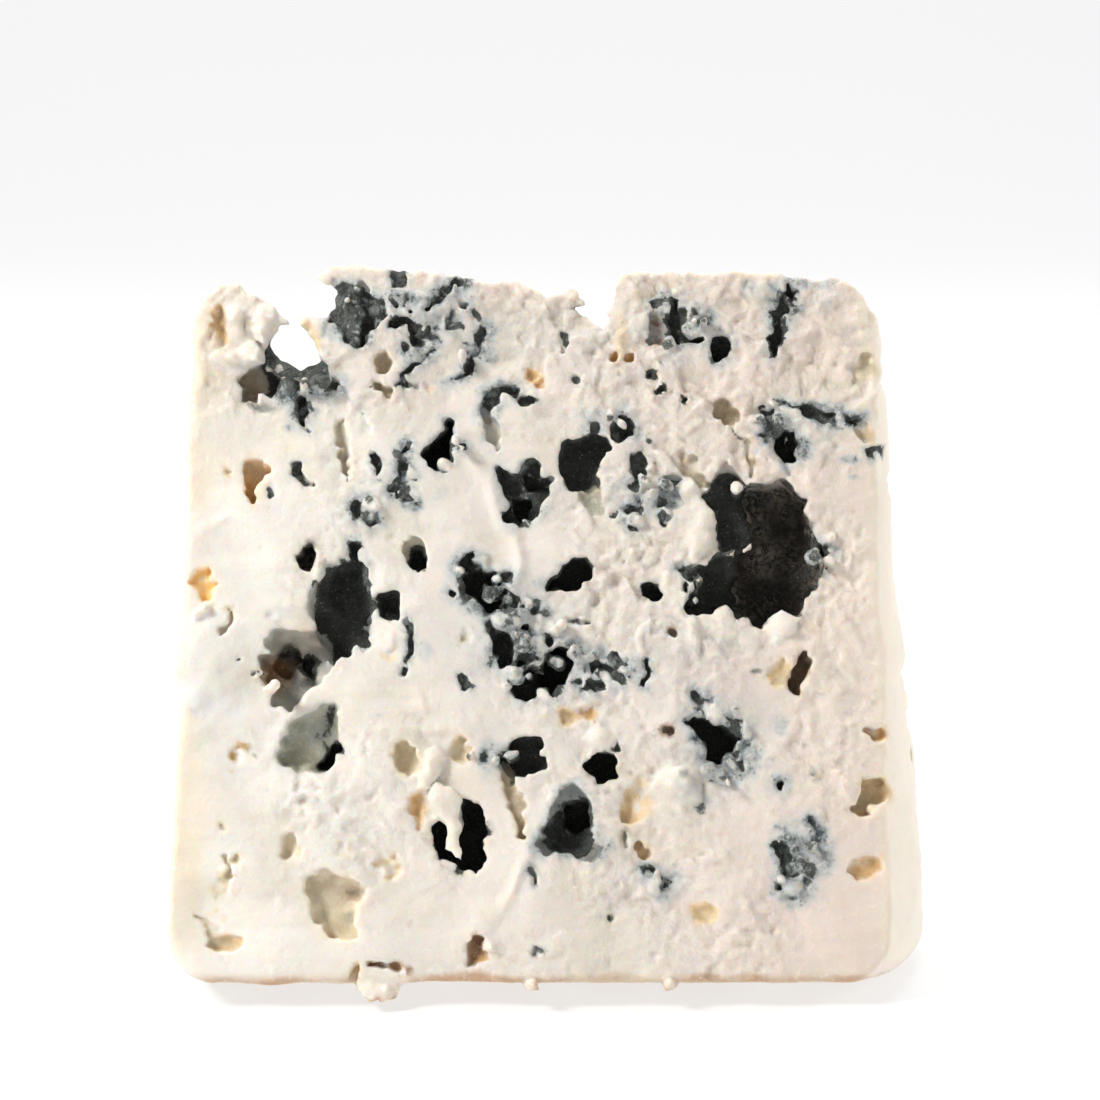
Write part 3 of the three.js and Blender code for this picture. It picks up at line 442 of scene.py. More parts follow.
    crack([(10.4, 19.8), (10.7, 18.6), (11.2, 18)], 0.5, 0.7, "olive"),
    crack([(31.3, 20), (31.2, 17), (31.6, 15), (31.3, 12.8)], 0.8, 1.2, "mould", 1.0),
    crack([(31.5, 14.2), (33, 14.2)], 0.6, 0.8, "mould", 0.8),
    crack([(34.8, 21.8), (35.8, 20.8), (36.5, 19), (36.8, 17), (37, 15.8)], 0.5, 0.5, "grey", 0.9),
    crack([(25.4, 33.3), (26.6, 31.5), (26, 29.4)], 0.7, 0.9, "grey", 0.9),
    crack([(-23.6, 2.9), (-21.7, 2.2), (-18.6, 2.3)], 0.7, 1, "brown"),
    crack([(-26.4, 0.6), (-25.2, 2.2)], 0.9, 0.9, "honey"), crack([(-2.2, 15), (-1.5, 13.3)], 0.4, 0.4, "grey", 0.4),
    crack([(-27.5, 19), (-27.4, 17.5)], 0.4, 0.4, "cream"), crack([(28.2, 42.2), (28.9, 41.4)], 0.5, 0.5, "grey"),
]

# Crumbs, curls and flakes: middle, width, height, how far each stands proud, its turn and its lining
LUMPS = [
    (-44.6, 42.6, 11.4, 14.6, 1.5, 12, "flake"), (-46.6, 38.6, 6, 5.4, 1.3, 0, "flake"),
    (-42.3, 89.2, 3.3, 5.2, 1.9, 0, "paste"), (-38.8, 89, 4.4, 6.4, 2.0, 0, "paste"),
    (-43.5, 84.1, 5, 3.4, 1.5, 0, "paste"), (-40.5, 84.7, 3.6, 3.6, 1.7, 0, "paste"),
    (-33, 80.8, 1.8, 1.8, 1.4, 0, "honey"), (-34.9, 80.5, 3.2, 2.8, 1.5, 0, "sage"),
    (-30.9, 81, 3.1, 3.5, 1.6, 0, "sage"), (-32.6, 87.6, 2.6, 5.2, 1, 35, "honey"),
    (-24.2, 74.2, 1.4, 3, 0.8, 15, "paste"), (12.4, 89.2, 2.8, 5, 0.9, 0, "paste"),
    (17.7, 93.4, 1.8, 1.7, 1.1, 0, "paste"), (30, 93, 4, 3.6, 0.6, 0, "grey"), (44, 78.6, 1.8, 5.2, 1, 5, "paste"),
    (32, 75.5, 2.4, 2.2, 1.2, 0, "patchy"), (-23.5, 64.2, 2.4, 2, 0.8, 0, "paste"),
    (-8, 52.1, 2.3, 2.1, 1.4, 0, "patchy"), (25.6, 66.3, 2.1, 2, 1, 0, "paste"),
    (38.3, 59.8, 1.5, 1.8, 0.8, 0, "paste"), (38, 56.6, 1.4, 1.6, 0.7, 0, "paste"),
    (-3, 45.5, 3.2, 2.9, 1.6, 0, "patchy"), (-4.2, 41.3, 1.8, 1.7, 1.4, 0, "paste"),
    (-3.3, 49.1, 2.4, 2.2, 0.9, 0, "grey"), (-6.5, 48.8, 2, 1.6, 0.7, 0, "paste"), (7.1, 33, 4, 3.8, 0.8, 0, "paste"),
    (21.3, 35.9, 1.2, 1.2, 0.7, 0, "grey"), (22.6, 35.8, 1, 1.1, 0.6, 0, "paste"),
    (8, 41.1, 1.8, 1.2, 0.8, 0, "paste"), (33, 13, 2.4, 2.2, 0.6, 0, "grey"), (32.1, 19.3, 1.8, 1.8, 0.6, 0, "grey"),
    (-36.8, 39.4, 3, 1.2, 1.4, 32, "paste"), (-46.2, 50, 1.6, 3, 0.8, -28, "paste"),
    (-4.6, 30.4, 1.4, 1, 0.8, 0, "grey"), (17.4, 26.4, 7.6, 7, 1.1, 0, "paste"),
    (-21, -0.4, 2.8, 2.2, 0.5, 0, "paste"), (16.3, 0.2, 1.5, 1.3, 0.5, 0, "paste"),
    (20.4, 60.4, 4.4, 8.4, 0.9, 0, "paste"), (-21.4, 46.4, 3.4, 3.6, 0.25, 20, "paste"),
    (22.7, 27.9, 3, 3, 0.6, 0, "grey"), (-23.4, 0, 2.4, 2, 0.4, 0, "paste"), (-2.3, 0.1, 1.7, 1.5, 0.5, 0, "paste"),
    (-7.6, 5.1, 1.6, 1.4, 0.7, 0, "paste"), (19.4, 66.4, 2.2, 3, 0.8, 0, "paste"),
    (20.4, 48.2, 1.6, 1.2, 0.7, 0, "grey"), (-30.6, 56.6, 0.9, 3.4, 0.7, -14, "paste"),
]

# Broken pieces with flat tops: outline, how far each stands proud and how deep it is rooted
SHARDS = [
    ([(-15.8, 31.7), (-14.4, 31.4), (-14.1, 29.6), (-14.7, 27.4), (-16.2, 25.8), (-17.3, 26.2), (-17.3, 29)], 1.1,
        2.5),
    ([(-14.4, 26.9), (-12.4, 25.4), (-11.3, 23.6), (-11.2, 20.6), (-11.6, 18), (-12.1, 15.9), (-12.7, 18.2),
        (-14, 21.4), (-16.4, 23.8), (-16.1, 26)], 0.9, 3.6),
    ([(-25.4, 0.7), (-23.5, 2.3), (-21.3, 1.5), (-18.7, 1.7), (-18.2, 0.7), (-19.8, -1.1), (-22.8, -2),
        (-24.3, -1.1)], 0.3, 2.5),
    ([(22.1, 49.5), (23.6, 50.2), (25.4, 49.8), (26, 48), (24.8, 45.8), (22.6, 46)], 0.9, 2.2),
    ([(29.6, 48.6), (31, 49.6), (32.6, 49), (33.4, 47), (31.2, 44.9), (29.6, 46.2)], 1.0, 2.2),
    ([(18.8, 49.4), (20.4, 50), (21.8, 49.3), (22, 46.5), (20.2, 44.4), (18.6, 46.4)], 0.8, 2.0),
    ([(15.2, 54), (17, 54.9), (18.8, 54.1), (18.5, 51), (17.4, 49.6), (15.8, 50.8)], 0.7, 2.0),
    ([(-27.2, 75.4), (-26, 77), (-24.6, 77), (-23.6, 74), (-24.4, 70), (-26, 66.1), (-27, 69)], 0.4, 1.5),
]

# Rubble where the mould has eaten into the paste: middle, width, height and how many bits
RUBBLE = [
    (-9, 53.5, 8, 8, 14), (-3.5, 46, 12, 9, 26), (2, 42, 10, 8, 18), (-2, 39.6, 8, 4, 8), (8, 42, 7, 5, 10),
    (-4.5, 50, 5, 5, 8), (-25.5, 89.5, 7, 10, 16), (-17, 91, 12, 6, 16), (-14, 86, 12, 7, 10), (-32, 79.6, 9, 6, 18),
    (17, 89, 9, 8, 12), (32, 90.5, 5, 9, 8), (31, 75.6, 6, 5, 12), (37.5, 76.4, 9, 2, 8), (22.5, 36.4, 6, 3, 12),
    (25.8, 31, 4, 9, 14), (20.6, 27.6, 6, 5, 8), (32.6, 16, 5, 11, 16), (12.6, 65.4, 9, 9, 16),
    (-19, 68.6, 4, 10, 10), (19, 53, 2.4, 6, 6), (-8, 30, 7, 3, 4), (-12, 71, 5, 4, 6), (14.6, 14, 4, 3, 5),
    (36.6, 57.5, 4, 5, 8), (-24.6, 63.4, 4, 3, 6), (8, 75.4, 8, 3, 6),
]


def rubble():
    """Small holes and crumbs strewn over the mouldy places."""
    rng = np.random.default_rng(91)
    holes, crumbs = [], []
    for x, v, w, h, count in RUBBLE:
        for n in range(count):
            reach, turn = math.sqrt(rng.random()) / 2, rng.uniform(0, 2 * math.pi)
            px, pv = x + w * reach * math.cos(turn), v + h * reach * math.sin(turn)
            size = rng.uniform(0.45, 1.2) + 0.7 * (rng.random() < 0.15)
            stretch = rng.uniform(0.7, 1.4)
            if n % 2:
                lining = ("mould", "mould", "patchy")[rng.integers(3)]
                holes.append(dot(px, pv, size, size * stretch, rng.uniform(0.7, 1.7), lining, halo=0.7))
            else:
                lining = ("patchy", "grey", "paste")[rng.integers(3)]
                proud, tilt = rng.uniform(0.1, 0.55), rng.uniform(0, 90)
                crumbs.append((px, pv, size * 1.2, size * 1.2 * stretch, proud, tilt, lining))
    return holes, crumbs


RUBBLE_HOLES, RUBBLE_CRUMBS = rubble()
HOLLOWS += RUBBLE_HOLES
LUMPS += RUBBLE_CRUMBS

# Smears and ridges that the knife left: width, height, route
RIDGES = [
    (1.5, 0.85, [(-13, 72), (-10, 71), (-9, 69), (-7.5, 66), (-6.3, 63.5), (-5.5, 60.5), (-4.8, 57), (-4.7, 54),
        (-4.5, 51), (-3, 48)]),
    (1.1, 0.55, [(-5, 24), (-3.3, 20), (-3, 17), (-4, 14), (-5.5, 11.5), (-8, 9.5), (-9.5, 8), (-10, 6)]),
    (0.9, 0.4, [(17.3, 62), (17.3, 60), (16.8, 57.5), (16.5, 55), (15.8, 53.5)]),
    (0.9, 0.4, [(2.5, 47), (4.4, 46.6), (6.4, 47.2)]), (0.8, 0.45, [(-42.2, 17), (-41.9, 14.5), (-42.2, 12.6)]),
    (0.8, 0.35, [(-35.6, 30), (-35.9, 33), (-33.6, 36)]), (0.9, 0.5, [(9.4, 92), (10, 88), (10.6, 84)]),
    (0.8, 0.4, [(11.5, 92.2), (14, 91.9), (16.7, 91.4)]), (0.7, 0.3, [(-20, 33.6), (-14, 34.4), (-9, 33.2)]),
    (0.9, 0.35, [(-26, 22), (-20, 21), (-16, 18.6)]), (0.8, 0.3, [(-38, 26.4), (-31, 25), (-25, 25.4)]),
    (0.8, 0.3, [(10, 12), (17, 12.6), (24, 11.6)]), (0.7, 0.3, [(36, 52), (40, 49), (43, 44)]),
    (0.8, 0.3, [(-46, 60), (-42, 62.4), (-37, 62)]), (0.8, 0.3, [(-28, 78.6), (-24, 80.2), (-20, 78)]),
]

# Broad shallow dips and rises: middle, width, height, depth
DIPS = [
    (-6.6, 59.5, 4.4, 14, 0.7), (-12.6, 12, 10, 5, 0.5), (-44, 58, 9, 12, 0.35), (23.5, 29, 3.4, 4, 0.5),
    (42, 60, 6, 22, -0.3), (14, 66, 6, 6, 0.3), (-22, 71, 6, 10, -0.3), (30, 88, 8, 8, 0.25), (-30, 22, 16, 8, 0.35),
    (16, 45, 14, 8, -0.35), (33, 32, 12, 12, 0.25), (-12, 86, 12, 8, 0.3),
]

# Clouds of blue mould in the paste: middle, width, height, turn and strength
CLOUDS = [
    (-25.8, 90.6, 6.6, 9, 0, 1.0), (-19.5, 92.6, 7, 4, -10, 0.9), (-13.6, 93.4, 8, 3.4, 0, 0.8),
    (-9, 86, 5, 8, 25, 0.7), (-15.6, 88.6, 9, 5, 0, 0.6), (-18, 83.6, 6, 4, 40, 0.5), (14, 87.8, 4, 4.5, 0, 0.6),
    (18.6, 89, 5, 7, 0, 0.7), (23.4, 87, 4.4, 5, 0, 0.6), (27.6, 94, 3, 3, 0, 0.6), (31.8, 91, 5.4, 9, 0, 0.9),
    (34.4, 94.6, 5, 2.6, 0, 0.7), (38, 94.4, 4, 3, 0, 0.5), (37.4, 92, 4, 3, 0, 0.35), (36, 76.8, 13, 3.4, -8, 1.0),
    (31, 75.6, 6, 6, 0, 1.0), (34.2, 72, 5, 5.6, 0, 0.9), (41, 70.4, 4, 1.6, 0, 0.8), (41.4, 68, 2.4, 1, 0, 0.5),
    (28.3, 71.4, 2, 2, 0, 0.4), (45, 71.9, 3.6, 1, 10, 0.8), (-35, 79.6, 8, 5, -10, 0.9), (-31, 80.4, 5, 5, 0, 0.9),
    (-33, 76.6, 4, 6, 0, 0.7), (-35, 74.8, 2, 1.6, 0, 0.6), (-28, 72, 4, 8, 0, 0.25), (-19.2, 68.6, 5, 10, 0, 0.8),
    (-15, 70.6, 6, 6, 0, 0.45), (-24.4, 63.6, 5, 4, 30, 0.7), (-14.4, 66, 4, 4, 0, 0.3), (-29.6, 71, 4, 6, 0, 0.2),
    (-3, 65.5, 9, 10, 0, 0.5), (6, 76.4, 9, 3, 0, 0.35), (10.6, 75, 4, 5, 0, 0.7), (13, 70, 5, 6, 0, 0.4),
    (12.4, 63.6, 6, 4, 0, 0.5), (16.4, 65.6, 4.4, 5, 0, 0.8), (9, 66, 4, 5, 0, 0.3), (-11, 55.4, 6, 6, 0, 0.9),
    (-8.6, 51.6, 8, 7, -25, 0.9), (-4.6, 50, 6, 5, -40, 0.9), (-3, 45.4, 9, 8, 0, 1.0), (2.4, 43.4, 8, 8, 0, 0.9),
    (-2.6, 39.6, 7, 6, 0, 0.8), (6.4, 43.4, 6, 5, 0, 0.7), (9.4, 42, 5, 5, 0, 0.6), (13.2, 41.6, 3, 6, 0, 0.6),
    (-1, 53.6, 3, 2.4, 0, 0.5), (-16.4, 44.4, 3, 4, 0, 0.4), (-10.6, 40, 3, 4, 0, 0.4), (-22.2, 35.7, 1.6, 1, 0, 0.5),
    (-21, 51, 4, 5, 0, 0.3), (-18, 57, 4, 6, 0, 0.25), (-28, 53, 8, 10, 0, 0.5), (-26, 59, 4, 4, 0, 0.5),
    (-32, 56.6, 3, 4, 0, 0.25), (-26.6, 45.4, 4, 4, 0, 0.5), (21.4, 37.8, 5, 4, 0, 0.8), (22.4, 33, 8, 8, 35, 0.7),
    (24.6, 28.6, 6, 7, 0, 0.7), (26.6, 31.4, 4, 7, 0, 0.8), (30.9, 34.6, 3, 3, 0, 0.5), (30.8, 26.6, 4, 4, 0, 0.7),
    (20.6, 24.6, 4, 4, 0, 0.35), (32.6, 17, 6, 11, 0, 0.9), (35.6, 18.4, 4, 8, 20, 0.7), (33, 11.6, 5, 4, 0, 0.7),
    (36, 11.4, 4, 2, 0, 0.3), (17, 13.4, 5, 5, -30, 0.5), (15, 13.8, 4, 4, 0, 0.7), (3, 24, 6, 7, 0, 0.5),
    (-3, 30.4, 6, 6, 0, 0.3), (7.6, 29, 5, 5, 0, 0.2), (-31.4, 33, 8, 9, 0, 0.3), (21, 51.4, 5, 6, 0, 0.5),
    (18.6, 48.6, 4, 2, 0, 0.4), (37.6, 54.8, 2, 2, 0, 0.5), (-36, 49.6, 6, 2.4, 0, 0.25), (3.6, 48.2, 4, 2, 0, 0.4),
    (25, 68, 6, 3, 0, 0.4), (-13, 72, 5, 5, 0, 0.3), (17, 84, 7, 4, 0, 0.3), (2, 86, 3, 6, 0, 0.25),
    (-1.2, 4.6, 2, 2, 0, 0.3),
]

# Other stains: middle, width, height, turn, the lining whose tint they have, and strength. Some are painted light: the
# grey ones at (-43.8, 41.5) and (-7, 28) are painted shade; the olive ones at (-39.6, 41), (-16, 19.5) and (-4, 21) are
# partly olive tint and partly painted shade on slopes and beside a ridge; the cream ones along the left edge are partly
# yellowish paste and partly painted glow of light through the thin edge
STAINS_SHADE_AND_GLOW = [
    (-46.6, 68, 5, 12, 0, "cream", 0.4), (-46, 84, 6, 18, 0, "cream", 0.5), (-47.6, 20, 5, 36, 0, "cream", 0.55),
    (-28, 10, 9, 10, 0, "cream", 0.4), (10, 87, 2.4, 9, 0, "honey", 0.6), (13, 92.6, 5, 5, 0, "honey", 0.25),
    (23.5, 88, 2.4, 1.6, 0, "brown", 0.4), (-35, 22.4, 3, 2.6, 0, "olive", 0.3), (-4, 21, 1.4, 5, 15, "olive", 0.35),
    (-39.6, 41, 4, 9, 0, "olive", 0.3), (-43.8, 41.5, 1.2, 10, 4, "grey", 0.25), (-7, 28, 5, 4, 0, "grey", 0.25),
    (35.8, 47.5, 3, 2.4, 0, "honey", 0.3), (-16, 19.5, 1.6, 2, 0, "olive", 0.5),
    (38, 25.2, 1.6, 1.2, 0, "olive", 0.3), (32.6, 41, 4, 4, 0, "honey", 0.3), (-40, 67.4, 5, 8, 0, "honey", 0.25),
    (-46, 53, 4, 7, 0, "honey", 0.4), (-19.2, 30.2, 4.4, 5.6, 0, "cream", 0.5), (-32.4, 47, 3, 8, 0, "brown", 0.35),
]

# Broad veils of pale blue over the paste: middle, width, height and strength
VEILS = [
    (-20, 68, 26, 30, 0.16), (-4, 47, 26, 22, 0.3), (14, 66, 26, 16, 0.2), (24, 32, 22, 22, 0.34),
    (33, 17, 14, 16, 0.25), (0, 88, 90, 12, 0.22), (34, 74, 18, 10, 0.3), (20, 46, 26, 10, 0.25),
    (2, 24, 20, 16, 0.12), (-44, 42, 12, 14, 0.3), (-26, 52, 16, 20, 0.2), (38, 36, 16, 16, 0.1),
]


# ---- Carving ----
class Face:
    """A cut face of the wedge: where its places lie in the grid, its relief, and what is carved into it."""

    def __init__(self, side, warp_seed, relief_seed, phase, ridges=(), dips=()):
        self.side = side
        self.v, self.depth = face_place(-side * Y, Z)
        self.warp = [0.22 * noise(warp_seed + i, 1.1, map_x, map_v)
                     + 0.17 * noise(warp_seed + 10 + i, 0.5, map_x, map_v) for i in (0, 1)]
        self.torn = crumbliness(relief_seed)
        self.relief = relief(self.torn, relief_seed, phase, ridges, dips)
        self.cuts, self.joined = [], []

    def place(self, points):
        """Where points of the grid's space lie on this face: across, up and depth."""
        v, depth = face_place(-self.side * points[:, 1], points[:, 2])
        return points[:, 0] - FACE_MIDDLE, v, depth

    def patch(self, shape):
        """A hollow with the map of distances to its outline, over as much of the face as it needs."""
        points = shape.get("outline") or shape["route"]
        margin = 3.2 + shape["bulge"]
        low = np.min(points, 0) - margin
        high = np.max(points, 0) + margin
        i0, j0 = (np.maximum(low - (map_x[0], map_v[0]), 0) / MAP_PITCH).astype(int)
        i1, j1 = np.minimum(((high - (map_x[0], map_v[0])) / MAP_PITCH).astype(int) + 2, MX.shape)
        part = (slice(i0, i1), slice(j0, j1))
        across, up = MX[part] + self.warp[0][part], MV[part] + self.warp[1][part]
        if "outline" in shape:
            distance = outline_distance(cut_corners(points), across, up)
        else:
            away, along = route_distance(points, across, up)
            distance = away - shape["width"] / 2 * (0.35 + 0.65 * np.sin(np.pi * np.clip(along, 0.02, 0.98)))
        return dict(shape, distance=distance.astype(np.float32), corner=(i0, j0))

    def block(self, corner, size, deep):
        """The part of the grid below a patch of this face, and the map columns that go with it."""
        first, last = (corner[0] + 1) // 2, (corner[0] + size[0] - 1) // 2 + 1
        low, high = map_v[corner[1]], map_v[corner[1]] + size[1] * MAP_PITCH
        near = (self.v > low) & (self.v < high) & (self.depth > -4) & (self.depth < deep + 2.5)
        rows, columns = np.where(near.any(1))[0], np.where(near.any(0))[0]
        if not len(rows):
            return None
        return (slice(first, last), slice(rows[0], rows[-1] + 1), slice(columns[0], columns[-1] + 1)), slice(
            2 * first - corner[0], 2 * last - 1 - corner[0], 2)

    def spread(self, heights, low_v, v):
        """Values of a map, with columns along x, at heights v up the face."""
        u = np.clip((v - low_v) / MAP_PITCH, 0, heights.shape[1] - 1.001)
        i = u.astype(int)
        f = (u - i).astype(np.float32)
        return heights[:, i] * (1 - f) + heights[:, i + 1] * f

    def carve(self, field, shape):
        """Cuts a hollow or a crack into this face."""
        shape = self.patch(shape)
        found = self.block(shape["corner"], shape["distance"].shape, shape["deep"])
        if found is None:
            return
        part, columns = found
        depth = self.depth[part[1:]]
        away = self.spread(shape["distance"][columns], map_v[shape["corner"][1]], self.v[part[1:]])
        t = np.clip(depth / shape["deep"], 0, 1)
        flare = 1.4 * shape["soft"] * smooth(1.3, -0.2, depth)
        uneven = shape["rough"] * (lumpy[part] + 0.8 * grainy[part]) * smooth(-1.0, 0.7, depth)
        wall = away - flare - shape["bulge"] * 4 * t * (1 - t) + uneven
        floor = depth - shape["deep"] + shape["rough"] * lumpy[part]
        cut = rounded_max(wall, floor, shape["floor"])
        field[part] = rounded_max(field[part], -cut, shape["soft"])
        self.cuts.append(shape)

    def join(self, field, outline, proud, sink):
        """Joins a broken piece with a flat top to this face."""
        shape = self.patch(hollow(outline, sink, "paste"))
        part, columns = self.block(shape["corner"], shape["distance"].shape, sink)
        depth = self.depth[part[1:]][None]
        away = self.spread(shape["distance"][columns], map_v[shape["corner"][1]], self.v[part[1:]])
        top = -depth - proud * (0.45 + 0.55 * smooth(0.2, -1.2, away)) + 0.22 * lumpy[part]
        piece = rounded_max(away + 0.16 * lumpy[part] + 0.12 * grainy[part], np.maximum(top, depth - sink), 0.35)
        field[part] = rounded_min(field[part], piece, 0.2)
        self.joined.append(shape)

    def heap(self, field, x, v, w, h, proud, tilt, sink=1.6, seed=0, rough=1.0):
        """Joins a lump to this face, an egg cut to uneven facets and partly sunk in it."""
        reach = max(w, h) / 2 + 1.5
        corner = (np.array([x - reach, v - reach]) - (map_x[0], map_v[0])) / MAP_PITCH
        found = self.block(np.maximum(corner, 0).astype(int), [int(2 * reach / MAP_PITCH)] * 2, 4)
        if found is None:
            return
        part, _ = found
        turn = math.radians(tilt)
        dx = (xs[part[0]] - FACE_MIDDLE - x)[:, None, None]
        dv = (self.v[part[1:]] - v)[None]
        p, q = dx * math.cos(turn) + dv * math.sin(turn), dv * math.cos(turn) - dx * math.sin(turn)
        r = (self.depth[part[1:]] - sink)[None]
        radii = (w / 2, h / 2, proud + sink)
        spots = (p / radii[0], q / radii[1], r / radii[2])
        shares = np.sqrt(spots[0] ** 2 + spots[1] ** 2 + spots[2] ** 2)
        if rough > 0.5:
            shares = 0.88 * shares
            rng = np.random.default_rng(700 + seed)
            for facet in rng.standard_normal((10, 3)):
                facet = facet / np.linalg.norm(facet) / rng.uniform(0.8, 1.0)
                shares = np.maximum(shares, spots[0] * facet[0] + spots[1] * facet[1] + spots[2] * facet[2])
        egg = (shares - 1) * min(radii) * 0.9 + rough * (0.18 * lumpy[part] + 0.12 * grainy[part])
        field[part] = rounded_min(field[part], egg, 0.2)


def side_reach(y, z, face):
    """How far a flat face of the wheel lies from the middle, at places y and z on it."""
    half = TIP_HALF + np.maximum(AXIS_HEIGHT - z, 0) * (SIN / COS)
    edge = np.minimum((y / half) ** 2, 1.5)
    rise = np.clip((z - TAPER_FROM) / (TAPER_TO - TAPER_FROM), 0, 1.2)
    return face["reach"] - face["taper"] * rise - (face["draw_in"] + face["per_depth"] * half) * edge


def swell(across, up, phase):
    """Broad swells of a cut face, the same waves as the solid has."""
    total = 0
    for i in range(6):
        turn = phase + i * math.pi * (3 - math.sqrt(5))
        pitch = 2 * math.pi * 1.32**i / 46
        total = total + np.sin(pitch * (across * math.cos(turn) + up * math.sin(turn)) + phase * (i + 1))
    return 0.16 * total


def scattered_bumps(seed, count, sizes, heights):
    """A map of many small round bumps or pits at random places."""
    rng = np.random.default_rng(seed)
    total = np.zeros(MX.shape, np.float32)
    for _ in range(count):
        x, v = rng.uniform(-51, 51), rng.uniform(-2, 97)
        radius = rng.uniform(*sizes)
        height = rng.uniform(*heights) * radius
        stretch, turn = rng.uniform(0.7, 1.5), rng.uniform(0, math.pi)
        reach = radius * 1.6
        i0, j0 = int((x - reach - map_x[0]) / MAP_PITCH), int((v - reach - map_v[0]) / MAP_PITCH)
        n = int(2 * reach / MAP_PITCH) + 2
        part = (slice(max(i0, 0), i0 + n), slice(max(j0, 0), j0 + n))
        dx, dv = MX[part] - x, MV[part] - v
        p = (dx * math.cos(turn) + dv * math.sin(turn)) * stretch
        q = (dv * math.cos(turn) - dx * math.sin(turn)) / stretch
        total[part] += height * np.maximum(1 - (p * p + q * q) / radius**2, 0)
    return total


def recess(heights):
    """How far each place of a map lies below its surroundings."""
    across = np.fft.fftfreq(heights.shape[0], MAP_PITCH)[:, None]
    up = np.fft.rfftfreq(heights.shape[1], MAP_PITCH)[None]
    spread = np.exp(-2 * (np.pi * 1.1) ** 2 * (across**2 + up**2))
    return (np.fft.irfft2(np.fft.rfft2(heights) * spread, heights.shape) - heights).astype(np.float32)


def crumbliness(seed):
    """How torn each place of a cut face is, from 0 for creamy to 1 for crumbly."""
    torn = 0.5 + 0.25 * noise(seed, 12, map_x, map_v) + 0.15 * noise(seed + 1, 4, map_x, map_v)
    torn += (0.35 * smooth(70, 92, MV) * smooth(-30, -20, MX)
             + 0.3 * np.exp(-(((MX - 18) / 10) ** 2) - ((MV - 56) / 14) ** 2))
    torn += (0.3 * np.exp(-(((MX - 20) / 14) ** 2) - ((MV - 32) / 12) ** 2)
             - 0.5 * smooth(40, 27, MV) * smooth(12, -12, MX))
    torn -= 0.3 * smooth(20, 32, MX) * smooth(52, 42, MV)
    torn -= 0.35 * np.exp(-(((MX + 37) / 12) ** 2) - ((MV - 62) / 15) ** 2) + 0.3 * smooth(38, 44, MX)
    return np.clip(torn - 0.6 * np.exp(-(((MX + 44) / 7) ** 2) - ((MV - 42) / 9) ** 2), 0.06, 1)


def relief(torn, seed, phase, ridges, dips):
    """The height of a cut face above its plane, as a map."""
    bent_x, bent_v = MX + 0.6 * noise(seed + 2, 2.5, map_x, map_v), MV + 0.6 * noise(seed + 3, 2.5, map_x, map_v)
    height = (swell(MX + FACE_MIDDLE, MV, phase) + 0.2 * noise(seed + 4, 8, map_x, map_v)
              + 0.12 * noise(seed + 5, 3.4, map_x, map_v))
    height += torn * (0.17 * crumb_plates(seed + 6, 5.2, bent_x, bent_v)
                      + 0.17 * crumb_plates(seed + 7, 2.2, bent_x, bent_v))
    height += (0.1 + torn) * (0.06 * noise(seed + 8, 0.8, map_x, map_v)
                              + 0.10 * crumb_plates(seed + 9, 1.1, bent_x, bent_v))
    height += 0.05 * noise(seed + 10, (5, 0.9), map_x, map_v) + torn * 0.07 * noise(seed + 13, 1.6, map_x, map_v)
    height += torn * scattered_bumps(seed + 11, 2400, (0.3, 0.85), (0.14, 0.38))
    height -= (0.3 + torn) * scattered_bumps(seed + 12, 620, (0.25, 0.7), (0.3, 0.8))
    for width, rise, route in ridges:
        away, along = route_distance(route, bent_x, bent_v)
        height += rise * np.exp(-((away / width) ** 2) * 1.6) * np.sin(np.pi * np.clip(along, 0.08, 0.92)) ** 0.5
    for x, v, w, h, deep in dips:
        height -= deep * np.exp(-(((MX - x) / w) ** 2) * 2 - ((MV - v) / h) ** 2 * 2)
    return height.astype(np.float32)


# Roughness of what lies below the skin
lumpy = noise(301, 1.7, xs, ys, zs)
grainy = noise(302, 0.8, xs, ys, zs)

front = Face(-1, 420, 40, 1, RIDGES, DIPS)
back = Face(1, 520, 140, 2)

# The relief reaches this far above and below a cut face's plane
SKIN_BAND = 4.0


def face_skin(face):
    """Distance out of the wedge past a cut face, with its relief."""
    above = -face.depth
    flat = np.broadcast_to(above, (len(xs), *above.shape)).astype(np.float32)
    near = np.abs(above) < SKIN_BAND
    fade = smooth(SKIN_BAND, SKIN_BAND * 0.5, np.abs(above[near]))
    flat[:, near] -= face.spread(face.relief[::2], map_v[0], face.v[near]) * fade
    return flat


def wedge_field():
    """The uncut wedge: below zero inside."""
    skin = np.maximum(face_skin(front), face_skin(back))
    wrinkle = 0.16 * noise(310, (3.2, 5), xs, ys) + 0.1 * noise(311, (1.2, 1.6), xs, ys)
    rind = (np.hypot(Y, Z - AXIS_HEIGHT) - RADIUS)[None] - 0.5 * wrinkle[:, :, None]
    sides = []
    for sign, face, seed in ((1, RIGHT, 320), (-1, LEFT, 330)):
        uneven = (0.2 * noise(seed, 9, ys, zs) + 0.09 * noise(seed + 1, 2.4, ys, zs)
                  + 0.03 * noise(seed + 2, 0.9, ys, zs))
        sides.append(sign * xs[:, None, None] - (side_reach(Y, Z, face) + uneven)[None])
    side = np.maximum(*sides)
    outer = rounded_max(rind, side, RIM_RADIUS)
    skin = rounded_max(skin, outer, CUT_EDGE_RADIUS)
    return np.maximum(skin, -zs[None, None, :]).astype(np.float32)


def seen_place(x, y, z):
    """Where a place lies on the front face, as looked at from the eye."""
    v, depth = face_place(y, z)
    eye_v, eye_depth = face_place(EYE[1], EYE[2])
    t = depth / (depth - eye_depth)
    x = x - FACE_MIDDLE
    return x + (EYE[0] - FACE_MIDDLE - x) * t, v + (eye_v - v) * t


